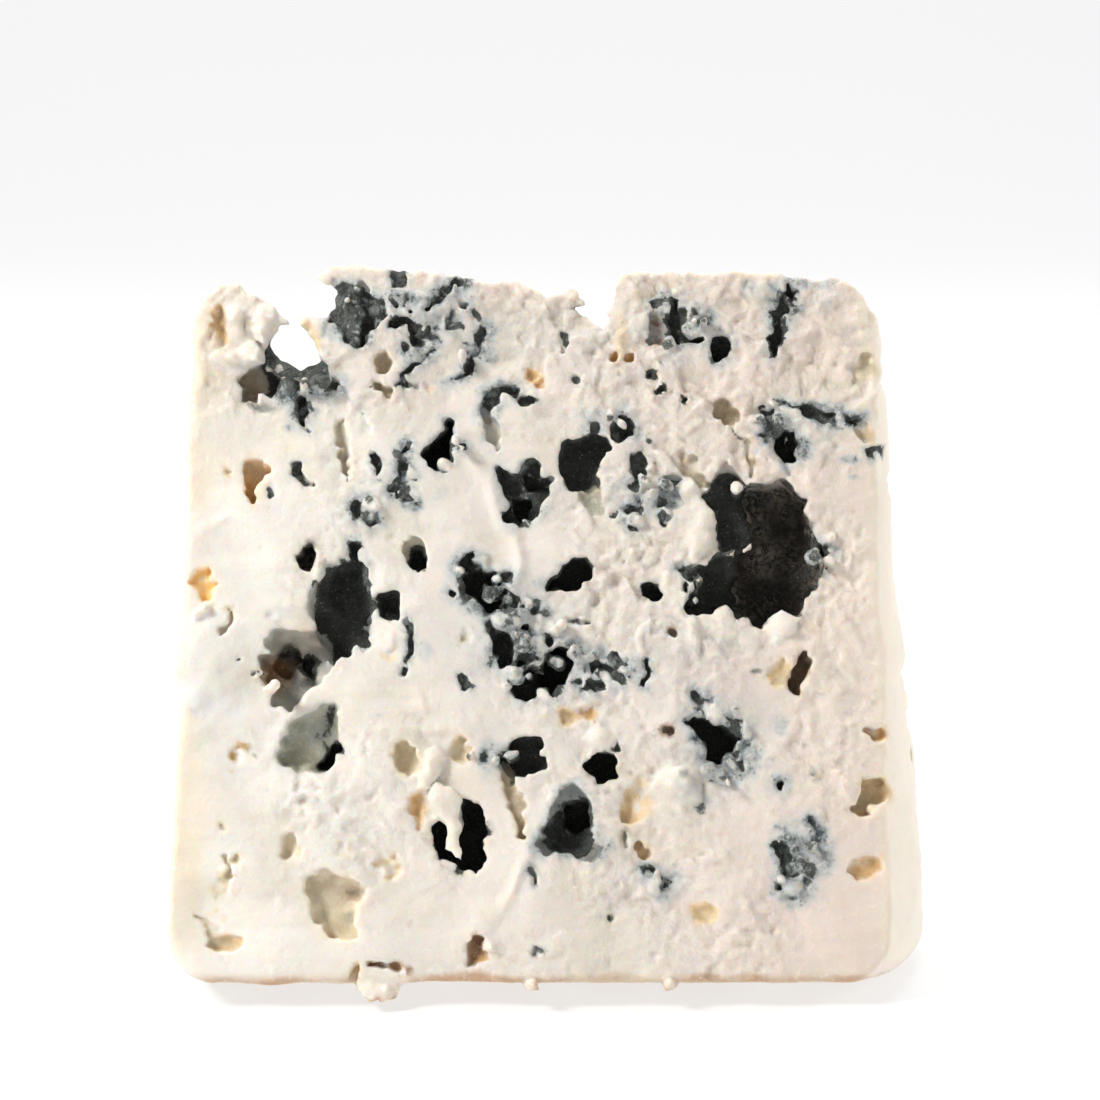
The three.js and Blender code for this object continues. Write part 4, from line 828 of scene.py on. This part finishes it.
def map_at(values, x, v, low=None):
    """Values of a map at any places, by straight lines between its own."""
    low = (map_x[0], map_v[0]) if low is None else low
    ux = np.clip((x - low[0]) / MAP_PITCH, 0, values.shape[0] - 1.001)
    uv = np.clip((v - low[1]) / MAP_PITCH, 0, values.shape[1] - 1.001)
    i, j = ux.astype(int), uv.astype(int)
    f, g = ux - i, uv - j
    top = values[i, j + 1] * (1 - f) + values[i + 1, j + 1] * f
    return (values[i, j] * (1 - f) + values[i + 1, j] * f) * (1 - g) + top * g


def trim_to_outline(field):
    """Cuts the wedge to its outline as seen from the eye, with the notches of the tip going right through."""
    ragged_x, ragged_v = MX + 0.7 * front.warp[0], MV + 0.7 * front.warp[1]
    edge = outline_distance(SEEN_OUTLINE, ragged_x, ragged_v).astype(np.float32)
    for i, x in enumerate(xs):
        close = field[i] < 1.5
        if not close.any():
            continue
        seen_x, seen_v = seen_place(x, Y[close], Z[close])
        field[i][close] = rounded_max(field[i][close], map_at(edge, seen_x, seen_v), 0.5)


def back_hollows():
    """The hollows of the back face, drawn by the same rule as the solid's."""
    state = 36

    def draw():
        nonlocal state
        full = 0xFFFFFFFF
        state = (state + 0x6D2B79F5) & full
        t = ((state ^ (state >> 15)) * (state | 1)) & full
        t ^= (t + (((t ^ (t >> 7)) * (t | 61)) & full)) & full
        return (t ^ (t >> 14)) / 2**32

    found = []
    for _ in range(400):
        if len(found) == 16:
            break
        w = 3 + 7 * draw() ** 2.2
        h = w * (0.8 + 0.9 * draw())
        x = (2 * draw() - 1) * (HALF_HEIGHT - 6 - w)
        v = 6 + h / 2 + draw() * (RADIUS - 24 - h)
        tilt = 80 * (draw() - 0.5)
        if all(math.hypot(x - o[0], v - o[1]) > (w + h + o[2] + o[3]) / 3 for o in found):
            found.append((x, v, w, h, tilt, min(0.9 * w + 0.6, (RADIUS - v) * SIN * 0.8)))
    return found


def ragged_oval(x, v, w, h, tilt, seed):
    """An oval outline with a wavering edge."""
    rng = np.random.default_rng(seed)
    phases = rng.uniform(0, 2 * math.pi, 3)
    points = []
    for i in range(16):
        a = 2 * math.pi * i / 16
        reach = (1 + 0.12 * math.sin(2 * a + phases[0]) + 0.1 * math.sin(3 * a + phases[1])
                 + 0.07 * math.sin(5 * a + phases[2]))
        p, q = w / 2 * reach * math.cos(a), h / 2 * reach * math.sin(a)
        turn = math.radians(tilt)
        points.append((x + p * math.cos(turn) - q * math.sin(turn), v + p * math.sin(turn) + q * math.cos(turn)))
    return points


def carve_back(field):
    """Hollows, small holes and cracks of the back face."""
    rng = np.random.default_rng(77)
    for n, (x, v, w, h, tilt, deep) in enumerate(back_hollows()):
        lining = ("mould", "mould", "patchy", "mould", "amber", "mould", "grey")[n % 7]
        outline = ragged_oval(x, v, w, h, tilt, n)
        back.carve(field, hollow(outline, deep, lining, rough=0.28, floor=0.35 * w, halo=rng.uniform(0.2, 0.9)))
    for _ in range(70):
        x, v = rng.uniform(-46, 46), rng.uniform(4, 90)
        w = rng.uniform(0.6, 1.9)
        lining = ("mould", "amber", "patchy", "honey", "mould", "cream")[rng.integers(6)]
        back.carve(field, dot(x, v, w, w * rng.uniform(0.8, 1.8), None, lining, halo=rng.uniform(0, 0.8)))
    for _ in range(26):
        x, v, turn = rng.uniform(-44, 44), rng.uniform(8, 90), rng.uniform(0, 2 * math.pi)
        route = [(x, v)]
        for _ in range(3):
            turn += rng.uniform(-0.7, 0.7)
            x, v = x + 2 * math.cos(turn), v + 2 * math.sin(turn)
            route.append((x, v))
        width, deep = rng.uniform(0.6, 1.3), rng.uniform(0.7, 1.8)
        back.carve(field, crack(route, width, deep, ("mould", "patchy")[rng.integers(2)], 0.9))


def prick_sides(field):
    """Needle holes that run along the wheel's axis and open on both flat faces."""
    for sign, face, lift in ((1, RIGHT, 0), (-1, LEFT, 3)):
        for y, z in PRICKS:
            across = np.hypot(Y - y, Z - z - lift)
            rows, columns = np.where((across < 3).any(1))[0], np.where((across < 3).any(0))[0]
            part = (slice(None), slice(rows[0], rows[-1] + 1), slice(columns[0], columns[-1] + 1))
            into = side_reach(Y, Z, face)[part[1:]][None] - sign * xs[:, None, None]
            cut = rounded_max((across[part[1:]] - PRICK_RADIUS)[None] + 0.12 * lumpy[part], into - PRICK_DEPTH, 0.5)
            field[part] = rounded_max(field[part], -cut, 0.3)


def carved_field():
    """The whole cheese as a field: below zero inside, above zero outside."""
    field = wedge_field()
    for x, v, w, h, proud, tilt, lining in LUMPS:
        if lining == "flake":
            front.heap(field, x, v, w, h, proud, tilt, sink=0.8, rough=0.25)
    for shape in HOLLOWS:
        front.carve(field, shape)
    for n, (x, v, w, h, proud, tilt, lining) in enumerate(LUMPS):
        if lining != "flake":
            front.heap(field, x, v, w, h, proud, tilt, seed=n)
    for outline, proud, sink in SHARDS:
        front.join(field, outline, proud, sink)
    carve_back(field)
    prick_sides(field)
    trim_to_outline(field)
    return np.maximum(field, -zs[None, None, :])


# ---- From the field to a mesh ----
def grid_at(values, points):
    """Values of the grid at any points, by straight lines between its own."""
    u = (points - (xs[0], ys[0], zs[0])) / PITCH
    u = np.clip(u, 0, np.array(values.shape) - 1.001)
    i = u.astype(int)
    f = u - i
    total = 0
    for corner in np.ndindex(2, 2, 2):
        weight = np.prod([f[:, n] if c else 1 - f[:, n] for n, c in enumerate(corner)], 0)
        total = total + weight * values[i[:, 0] + corner[0], i[:, 1] + corner[1], i[:, 2] + corner[2]]
    return total


def slopes(field, points):
    """Which way the field rises at each point, for smooth shading."""
    steps = np.eye(3) * PITCH * 0.9
    slope = np.stack([grid_at(field, points + s) - grid_at(field, points - s) for s in steps], 1)
    return slope / np.maximum(np.linalg.norm(slope, axis=1, keepdims=True), 1e-9)


def skin_mesh(field):
    """The surface where the field is zero, in millimetres, with more faces kept in front."""
    grid = openvdb.FloatGrid(2.0)
    grid.copyFromArray(np.clip(field, -2, 2))
    points, triangles, quads = grid.convertToPolygons(0.0, 0.0)
    points = points * PITCH + (xs[0], ys[0], zs[0])

    mesh = bpy.data.meshes.new("cheese")
    mesh.vertices.add(len(points))
    mesh.vertices.foreach_set("co", points.astype(np.float32).ravel())
    corners = np.concatenate([quads[:, [0, 1, 2]], quads[:, [0, 2, 3]]] + ([triangles] if len(triangles) else []))
    mesh.loops.add(corners.size)
    mesh.loops.foreach_set("vertex_index", corners.astype(np.int32).ravel())
    mesh.polygons.add(len(corners))
    mesh.polygons.foreach_set("loop_start", np.arange(0, corners.size, 3, dtype=np.int32))
    mesh.update(calc_edges=True)
    thick = bpy.data.objects.new("cheese", mesh)
    bpy.context.scene.collection.objects.link(thick)
    in_front = smooth(3.5, 1.5, face_place(points[:, 1], points[:, 2])[1])
    group = thick.vertex_groups.new(name="coarse")
    coarse = 1 - 0.85 * in_front
    levels = np.round(coarse * 8) / 8
    for level in np.unique(levels):
        group.add(np.where(levels == level)[0].tolist(), float(level), "REPLACE")
    thin = thick.modifiers.new("thin", "DECIMATE")
    thin.ratio = FACES_KEPT / len(corners)
    thin.vertex_group = "coarse"
    thin.vertex_group_factor = 0.6
    kept = bpy.data.meshes.new_from_object(thick.evaluated_get(bpy.context.evaluated_depsgraph_get()))
    bpy.data.objects.remove(thick)
    return kept


# ---- Colours on the surface ----
PASTE = np.array([0.872, 0.832, 0.77])
RIND = np.array([0.62, 0.46, 0.33])
SIDE = np.array([0.87, 0.79, 0.665])
# Paste tones for the middle, the right and the tip: partly the paste's own tone, partly painted shade of the key light
# falling off
GREYER_SHADED, PINKER_SHADED, DULLER_SHADED = (0.77, 0.71, 0.655), (0.805, 0.69, 0.615), (0.735, 0.645, 0.565)
# The middle colour of the next line is painted shade for the recesses of the relief
STREAK, CREVICE_SHADE, RIND_LINE = (0.74, 0.60, 0.50), (0.76, 0.64, 0.50), (0.53, 0.34, 0.20)
# The last two colours of the next line are painted shade for a pit's left wall: a shaded brown-grey and a near-black
# shadow
FLAKE, SHADED_WALL, WALL_SHADOW = (0.80, 0.79, 0.77), (0.60, 0.50, 0.41), (0.07, 0.07, 0.06)
BARE_DUST = 0.6


def egg_share(x, v, middle_x, middle_v, w, h, tilt):
    """How far out a place lies in an oval, as a share of its radius."""
    turn = math.radians(tilt)
    dx, dv = x - middle_x, v - middle_v
    p, q = dx * math.cos(turn) + dv * math.sin(turn), dv * math.cos(turn) - dx * math.sin(turn)
    return np.hypot(2 * p / w, 2 * q / h)


class Coat:
    """What lies on each point of the skin: its tint, and how much mould, blue vein and dust; the tint and the dust also
    carry painted shade.
    """

    def __init__(self, count):
        self.tint = np.tile(PASTE, (count, 1))
        self.mould, self.vein, self.dust_and_depth_shade = np.zeros(count), np.zeros(count), np.full(count, BARE_DUST)

    def dye(self, weight, colour, part=slice(None)):
        weight = weight[:, None]
        self.tint[part] = self.tint[part] * (1 - weight) + np.array(colour) * weight

    def add_blue(self, weight, part=slice(None)):
        self.vein[part] = np.maximum(self.vein[part], weight)


def under_patch(shape, x, v, depth, deepest):
    """Which places lie below a patch, no deeper than stated, and how far each is from its outline."""
    low = (map_x[shape["corner"][0]], map_v[shape["corner"][1]])
    high = [low[n] + MAP_PITCH * shape["distance"].shape[n] for n in (0, 1)]
    near = (x > low[0]) & (x < high[0]) & (v > low[1]) & (v < high[1]) & (depth < deepest) & (depth > -3)
    return near, map_at(shape["distance"], x[near], v[near], low)


def dye_paste_and_falloff_shade(coat, points, x, v):
    """Ivory on the left, greyer in the middle, pinker on the right and duller towards the tip: partly the paste's own
    tone, partly painted shade where the key light falls off to the right and towards the tip.
    """
    coat.dye(0.75 * smooth(-38, -5, x), GREYER_SHADED)
    coat.dye(0.7 * smooth(5, 35, x), PINKER_SHADED)
    coat.dye(0.6 * smooth(66, 94, points[:, 2]), DULLER_SHADED)
    streaks = map_at(noise(155, (0.8, 16), map_x, map_v), x, v)
    coat.dye(0.3 * smooth(37, 43, x) * smooth(0.2, 1.4, streaks), STREAK)


def dye_outside(coat, points):
    """The flat faces of the wheel and the rind. Gives how much each point belongs to a flat face."""
    reach = np.where(points[:, 0] > 0, *(side_reach(points[:, 1], points[:, 2], face) for face in (RIGHT, LEFT)))
    side = smooth(2.0, 0.3, reach - np.abs(points[:, 0]))
    coat.dye(0.75 * side, SIDE)
    coat.dye(0.7 * smooth(1.4, 0.1, RADIUS - np.hypot(points[:, 1], points[:, 2] - AXIS_HEIGHT)), RIND)
    return side


def stain_and_paint_light(coat, x, v, on_front):
    """The clouds, stains and veils of the front face; some of the stains are painted shade and painted glow."""
    for *place, strength in CLOUDS:
        coat.add_blue(strength * smooth(1.25, 0.3, egg_share(x, v, *place)) * on_front)
    for *place, lining, strength in STAINS_SHADE_AND_GLOW:
        coat.dye(strength * smooth(1.25, 0.3, egg_share(x, v, *place)) * on_front, LININGS[lining][0])
    for *place, strength in VEILS:
        coat.add_blue(strength * smooth(1.3, 0.2, egg_share(x, v, *place, 0)) * on_front)


def line_hollows(coat, face, ragged_map, x, v, depth):
    """The linings and halos of a face's hollows and cracks, with painted shade: each lining darker and less dusty
    deeper down.
    """
    below = depth + map_at(face.relief, x, v)
    ragged = map_at(ragged_map, x, v)
    for shape in face.cuts:
        deep, thin = shape["deep"], "route" in shape
        near, away = under_patch(shape, x, v, depth, deep + 3)
        if not near.any():
            continue
        sunk = below[near] + (0.6 if thin else 0.3) * ragged[near]
        weight = smooth(0.08, min(0.35 * deep, 0.9), sunk) * smooth(0.9 + shape["bulge"], 0.1, away)
        colour, under_mould, dust_and_shade_share = LININGS[shape["lining"]]
        coat.dye(weight * 0.95, colour, near)
        # Painted shade: each lining is dyed darker deeper down in its hollow
        coat.dye(weight * smooth(0.3 * deep, 1.1 * deep, sunk) * 0.6, np.array(colour) ** 1.5 * 0.6, near)
        dust_and_shade_share = dust_and_shade_share * (0.5 if thin else 1)
        # Painted shade: the grey dust thins deeper down, so the mould is painted darker there
        coat.dust_and_depth_shade[near] = coat.dust_and_depth_shade[near] * (1 - weight) + dust_and_shade_share * weight * (1 - 0.8 * smooth(1.2, 5.5, sunk))
        coat.mould[near] = np.maximum(coat.mould[near] * (1 - weight), under_mould * weight)
        if shape["halo"]:
            coat.add_blue(shape["halo"] * smooth(2.3, 0, away) * smooth(deep + 2, 1, sunk), near)


def coat_lumps(coat, x, v, depth, on_front):
    """The lumps, flakes and broken pieces of the front face."""
    for middle_x, middle_v, w, h, _, tilt, lining in LUMPS:
        share = egg_share(x, v, middle_x, middle_v, w * 1.1, h * 1.1, tilt)
        weight = smooth(1.1, 0.75, share) * smooth(1.2, 0.2, depth) * on_front
        if lining == "flake":
            coat.dye(0.5 * weight, FLAKE)
            coat.mould *= 1 - weight
            coat.vein *= 1 - 0.6 * weight
            continue
        colour, under_mould, dust_and_shade_share = LININGS[lining]
        coat.dye(0.8 * weight, colour)
        coat.dust_and_depth_shade = coat.dust_and_depth_shade * (1 - weight) + dust_and_shade_share * weight
        coat.mould = coat.mould * (1 - weight) + under_mould * weight
        coat.vein = coat.vein * (1 - 0.5 * weight * (under_mould < 0.1))
    for shape in front.joined:
        near, away = under_patch(shape, x, v, depth, shape["deep"])
        weight = smooth(0.45, 0.1, away) * smooth(shape["deep"], 1, depth[near])
        coat.dye(0.9 * weight, LININGS["paste"][0], near)
        coat.mould[near] *= 1 - weight
        coat.vein[near] *= 1 - 0.7 * weight


def paint(points):
    """The tint of each point, with painted shade and painted glow in it, and its shares of mould, vein, dust (thinned
    deep in the hollows as painted shade) and torn paste.
    """
    coat = Coat(len(points))
    x, v, depth = at_front = front.place(points)
    back_x, back_v, back_depth = at_back = back.place(points)
    on_front = smooth(6, 3, depth) * smooth(-5, -2, depth)
    dye_paste_and_falloff_shade(coat, points, x, v)
    side = dye_outside(coat, points)
    # Painted shade: the paste is dyed warmer and darker in the recesses of each face's relief
    for face, at_face in ((front, at_front), (back, at_back)):
        crevice_shade = smooth(0.05, 0.5, map_at(recess(face.relief), *at_face[:2]))
        coat.dye(0.6 * crevice_shade * smooth(2.5, 0.8, at_face[2]), CREVICE_SHADE)
    stain_and_paint_light(coat, x, v, on_front)
    ragged_map = noise(153, 0.9, map_x, map_v) + 0.6 * noise(154, 0.5, map_x, map_v)
    line_hollows(coat, front, ragged_map, *at_front)
    line_hollows(coat, back, ragged_map, *at_back)

    # The thin brown rind where it meets the front cut face
    strip = smooth(1.5, 0.5, v + 0.4 * map_at(noise(152, 3, map_x, map_v), x, v)) * smooth(4, 1, depth)
    coat.dye(0.8 * strip, RIND_LINE)
    coat.vein *= 1 - strip
    coat_lumps(coat, x, v, depth, on_front)

    # Blue-green threads on the back, where the photograph shows nothing
    threads = map_at(noise(150, 6, map_x, map_v) + 0.6 * noise(151, 2, map_x, map_v), back_x, back_v)
    coat.add_blue(0.75 * smooth(0.7, 1.5, threads) * smooth(3, 1, back_depth))

    # Painted shade on the bare left wall of the mould-lined pit: the mould is taken off, the wall is painted a shaded
    # brown-grey, and a painted shadow darkens it towards its floor
    bare_shaded_wall = smooth(1.25, 0.6, egg_share(x, v, -31.4, 50.2, 5.4, 13, 0)) * on_front * smooth(0, 0.7, depth)
    shade = smooth(-32.6, -29.8, x)
    coat.dye(0.8 * bare_shaded_wall, SHADED_WALL)
    coat.dye(0.9 * bare_shaded_wall * shade, WALL_SHADOW)
    coat.mould *= 1 - bare_shaded_wall * (1 - shade)
    torn = np.where(depth < 8, map_at(front.torn, x, v), map_at(back.torn, back_x, back_v))
    return coat.tint, {"mould": coat.mould, "vein": coat.vein, "dust_and_depth_shade": coat.dust_and_depth_shade, "torn": torn * (1 - side)}


def cheese_piece():
    """The wedge as one object, with its tint and shares on its points."""
    field = carved_field()
    mesh = skin_mesh(field)
    points = np.zeros(len(mesh.vertices) * 3, np.float32)
    mesh.vertices.foreach_get("co", points)
    points = points.reshape(-1, 3).astype(float)
    normals = slopes(field, points)
    tint, shares = paint(points)
    mesh.vertices.foreach_set("co", (points * MM).astype(np.float32).ravel())
    mesh.attributes.new("tint", "FLOAT_COLOR", "POINT").data.foreach_set(
        "color", np.concatenate([tint, np.ones((len(tint), 1))], 1).astype(np.float32).ravel())
    for name, values in shares.items():
        mesh.attributes.new(name, "FLOAT", "POINT").data.foreach_set("value", np.clip(values, 0, 1).astype(np.float32))
    mesh.polygons.foreach_set("use_smooth", np.ones(len(mesh.polygons), bool))
    mesh.normals_split_custom_set_from_vertices(normals.astype(np.float32))
    mesh.update()
    piece = bpy.data.objects.new("cheese_paste", mesh)
    bpy.context.scene.collection.objects.link(piece)
    return piece


# ---- Materials ----
class Value:
    """A socket of a shader, with Python's operators standing for Math nodes."""

    def __init__(self, shader, socket):
        self.shader, self.socket = shader, socket

    def _math(self, operation, *others):
        return self.shader.node("ShaderNodeMath", {"operation": operation}, [self, *others])

    def __add__(self, other):
        return self._math("ADD", other)

    def __mul__(self, other):
        return self._math("MULTIPLY", other)

    def __sub__(self, other):
        return self._math("SUBTRACT", other)

    def __rsub__(self, other):
        return self.shader.node("ShaderNodeMath", {"operation": "SUBTRACT"}, [other, self])

    __radd__, __rmul__ = __add__, __mul__

    def between(self, low, high):
        """0 below low, 1 above high, smooth between."""
        return self.shader.node("ShaderNodeMapRange", {"interpolation_type": "SMOOTHSTEP"},
                                {"Value": self, "From Min": low, "From Max": high})


class Shader:
    """A material's nodes."""

    def __init__(self, name):
        self.material = bpy.data.materials.new(name)
        self.material.use_nodes = True
        self.tree = self.material.node_tree
        self.tree.nodes.clear()

    def node(self, kind, settings=None, inputs=(), output=0):
        made = self.tree.nodes.new(kind)
        for name, value in (settings or {}).items():
            setattr(made, name, value)
        for name, value in (inputs.items() if isinstance(inputs, dict) else enumerate(inputs)):
            if isinstance(value, Value):
                self.tree.links.new(value.socket, made.inputs[name])
            else:
                made.inputs[name].default_value = value
        return Value(self, made.outputs[output])

    def mix(self, share, first, second):
        """One colour turning into another."""
        made = self.tree.nodes.new("ShaderNodeMix")
        made.data_type = "RGBA"
        for socket, value in ((made.inputs[0], share), (made.inputs[6], first), (made.inputs[7], second)):
            if isinstance(value, Value):
                self.tree.links.new(value.socket, socket)
            else:
                socket.default_value = value if not hasattr(value, "__len__") else (*value, 1)
        return Value(self, made.outputs[2])

    def noise(self, place, per_mm, detail, rough):
        inputs = {"Vector": place, "Scale": per_mm / MM, "Detail": detail, "Roughness": rough}
        return self.node("ShaderNodeTexNoise", None, inputs, "Fac")

    def cells(self, place, per_mm):
        """Distance to the nearest of many scattered points."""
        inputs = {"Vector": place, "Scale": per_mm / MM, "Randomness": 1.0}
        return self.node("ShaderNodeTexVoronoi", {"feature": "F1"}, inputs, "Distance")

    def finish(self, shader):
        self.tree.links.new(shader.socket, self.tree.nodes.new("ShaderNodeOutputMaterial").inputs["Surface"])

    def attribute(self, name, output):
        return self.node("ShaderNodeAttribute", {"attribute_name": name}, (), output)


# Colours that the veins and the mould give the paste
# Of the next four colours, the last is partly the white of small moist crystals and partly a painted highlight for
# their glints
BUTTERY, WARM, PALE, CRYSTAL_GLINT = (0.775, 0.715, 0.605), (0.79, 0.68, 0.55), (0.93, 0.90, 0.85), (1.0, 0.98, 0.93)
CLOUD, THREAD, DARK_THREAD, PEPPER = (0.53, 0.57, 0.575), (0.24, 0.27, 0.275), (0.055, 0.062, 0.06), (0.13, 0.145, 0.14)
MOULD, MOULD_DUST, SPARKLE = (0.021, 0.0215, 0.0175), (0.22, 0.24, 0.22), (0.45, 0.48, 0.45)


def cheese_material():
    """Moist paste and dusty mould, mixed by the shares on the points."""
    s = Shader("moist_blue_cheese")
    place = s.node("ShaderNodeTexCoord", None, (), "Object")
    tint = s.attribute("tint", "Color")
    mould = s.attribute("mould", "Fac")
    vein = s.attribute("vein", "Fac")
    dust_and_shade_share = s.attribute("dust_and_depth_shade", "Fac")
    crumbly = s.attribute("torn", "Fac")
    broad = s.noise(place, 0.09, 3, 0.5)
    coarse = s.noise(place, 0.35, 6, 0.6)
    fine = s.noise(place, 1.6, 6, 0.65)
    grains = s.cells(place, 1.1)
    specks = s.cells(place, 2.6)

    # The paste is ivory, in places more buttery or greyer, with small moist crystals whose glints are painted in as
    # white specks: partly pale crystals, partly painted highlight
    paste = s.mix(broad.between(0.42, 0.68) * 0.5, tint, BUTTERY)
    paste = s.mix(coarse.between(0.5, 0.8) * 0.4, paste, WARM)
    paste = s.mix(fine.between(0.5, 0.8) * 0.4, paste, PALE)
    glint = fine.between(0.55, 0.65) * specks.between(0.30, 0.15)
    paste = s.mix(glint * 0.8, paste, CRYSTAL_GLINT)

    # Blue-grey veins show through the paste in soft clouds, and darken to threads where they are thick
    clouded = vein * ((coarse - 0.5) * 2.2 + (fine - 0.5) * 1.8 + 1.0)
    paste = s.mix(clouded.between(0.0, 0.65) * 0.7, paste, CLOUD)
    paste = s.mix(clouded.between(0.5, 1.0) * 0.8, paste, THREAD)
    paste = s.mix(clouded.between(0.92, 1.2) * 0.85, paste, DARK_THREAD)
    pepper = vein.between(0.2, 0.8) * grains.between(0.30, 0.14) * coarse.between(0.40, 0.56)
    paste = s.mix(pepper * 0.85, paste, PEPPER)

    # Mould: near black, grey-green where it is dusty, with small wet sparkles; the dust is thinned deep in the hollows
    # as painted shade, so the mould there is painted darker
    powder = dust_and_shade_share * (coarse.between(0.3, 0.7) * 0.6 + fine.between(0.4, 0.7) * 0.5 + 0.15)
    furry = s.mix(powder, MOULD, MOULD_DUST)
    furry = s.mix(fine.between(0.5, 0.62) * specks.between(0.26, 0.12) * 0.6, furry, SPARKLE)
    cover = (mould + (fine - 0.5) * 1.0 + (coarse - 0.5) * 0.6).between(0.34, 0.66)

    bumps = coarse * 0.3 + fine * 0.35 + crumbly * (fine * 0.45 + (1 - grains) * 0.3) + glint * 0.12
    relief_normal = s.node("ShaderNodeBump", None, {"Strength": 0.85, "Distance": 0.55 * MM, "Height": bumps})
    fur = {"Strength": 1.0, "Distance": 0.5 * MM, "Height": fine + specks * 0.5}
    fur_normal = s.node("ShaderNodeBump", None, fur)

    paste_shader = s.node("ShaderNodeBsdfPrincipled", {"subsurface_method": "RANDOM_WALK"}, {
        "Base Color": paste, "Roughness": 0.55 - glint * 0.3, "IOR": 1.42, "Subsurface Weight": 1.0,
        "Subsurface Radius": (2.2, 1.4, 0.8), "Subsurface Scale": MM * 0.45, "Specular IOR Level": 0.4,
        "Normal": relief_normal})
    mould_shader = s.node("ShaderNodeBsdfPrincipled", None, {
        "Base Color": furry, "Roughness": specks.between(0.0, 0.35) * 0.5 + 0.35, "IOR": 1.4,
        "Specular IOR Level": 0.35, "Normal": fur_normal})
    s.finish(s.node("ShaderNodeMixShader", None, [cover, paste_shader, mould_shader]))
    return s.material


def floor_material():
    s = Shader("pale_floor")
    s.finish(s.node("ShaderNodeBsdfPrincipled", None, {
        "Base Color": (0.4, 0.4, 0.4, 1), "Roughness": 0.9, "Specular IOR Level": 0.0,
        "Emission Color": (1, 1, 1, 1), "Emission Strength": 0.62}))
    return s.material


# ---- The scene ----
def area_light(name, place, aim, size, power, colour=(1, 1, 1)):
    """A round soft light that shines on a place."""
    light = bpy.data.lights.new(name, "AREA")
    light.shape, light.size, light.energy, light.color = "DISK", size, power, colour
    holder = bpy.data.objects.new(name, light)
    holder.location = Vector(place)
    holder.rotation_euler = (Vector(aim) - Vector(place)).to_track_quat("-Z", "Y").to_euler()
    bpy.context.scene.collection.objects.link(holder)


# The floor runs from in front of the object to a curve behind it, which rises into a wall
FLOOR_FRONT, FLOOR_BACK, FLOOR_HALF_WIDTH = -4.0, 1.2, 4.0
CURVE_RADIUS, CURVE_STEPS, WALL_TOP = 0.8, 12, 3.0


def sweep_mesh():
    """A floor that curves up into a wall behind the object."""
    profile = [(FLOOR_FRONT, 0.0), (FLOOR_BACK, 0.0)]
    for i in range(1, CURVE_STEPS + 1):
        a = math.pi / 2 * i / CURVE_STEPS
        profile.append((FLOOR_BACK + CURVE_RADIUS * math.sin(a), CURVE_RADIUS - CURVE_RADIUS * math.cos(a)))
    profile.append((FLOOR_BACK + CURVE_RADIUS, WALL_TOP))
    mesh = bpy.data.meshes.new("floor")
    places = [(x, y, z) for y, z in profile for x in (-FLOOR_HALF_WIDTH, FLOOR_HALF_WIDTH)]
    mesh.from_pydata(places, [], [(2 * i, 2 * i + 1, 2 * i + 3, 2 * i + 2) for i in range(len(profile) - 1)])
    mesh.polygons.foreach_set("use_smooth", [True] * len(mesh.polygons))
    return mesh


def studio():
    """The pale floor, the even light of the room, and three soft lights."""
    floor = bpy.data.objects.new("floor", sweep_mesh())
    floor.data.materials.append(floor_material())
    bpy.context.scene.collection.objects.link(floor)

    world = bpy.data.worlds.new("studio")
    bpy.context.scene.world = world
    world.use_nodes = True
    world.node_tree.nodes["Background"].inputs["Color"].default_value = (1, 1, 1, 1)
    world.node_tree.nodes["Background"].inputs["Strength"].default_value = 0.4

    area_light("key", (-0.72, -0.42, 0.75), (0, 0, 0.05), 0.3, 9.6, (1, 0.99, 0.97))
    area_light("overhead", (0.1, 0.35, 1.1), (0, 0.2, 0), 0.7, 6.0)
    area_light("low_right", (0.9, 0.16, 0.32), (0, 0, 0.03), 0.3, 2.8)


def photographer():
    """The camera, as the photograph was taken."""
    lens = bpy.data.cameras.new("camera")
    lens.lens, lens.sensor_width, lens.clip_start = LENS, 36, 0.01
    camera = bpy.data.objects.new("camera", lens)
    camera.location = Vector(EYE * MM)
    camera.rotation_euler = (math.pi / 2 - EYE_PITCH, 0, 0)
    bpy.context.scene.collection.objects.link(camera)
    bpy.context.scene.camera = camera


cheese = cheese_piece()
cheese.data.materials.append(cheese_material())
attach(cheese, "root")
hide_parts("cheese_wedge")

studio()
photographer()
bpy.context.scene.view_settings.view_transform = "Standard"
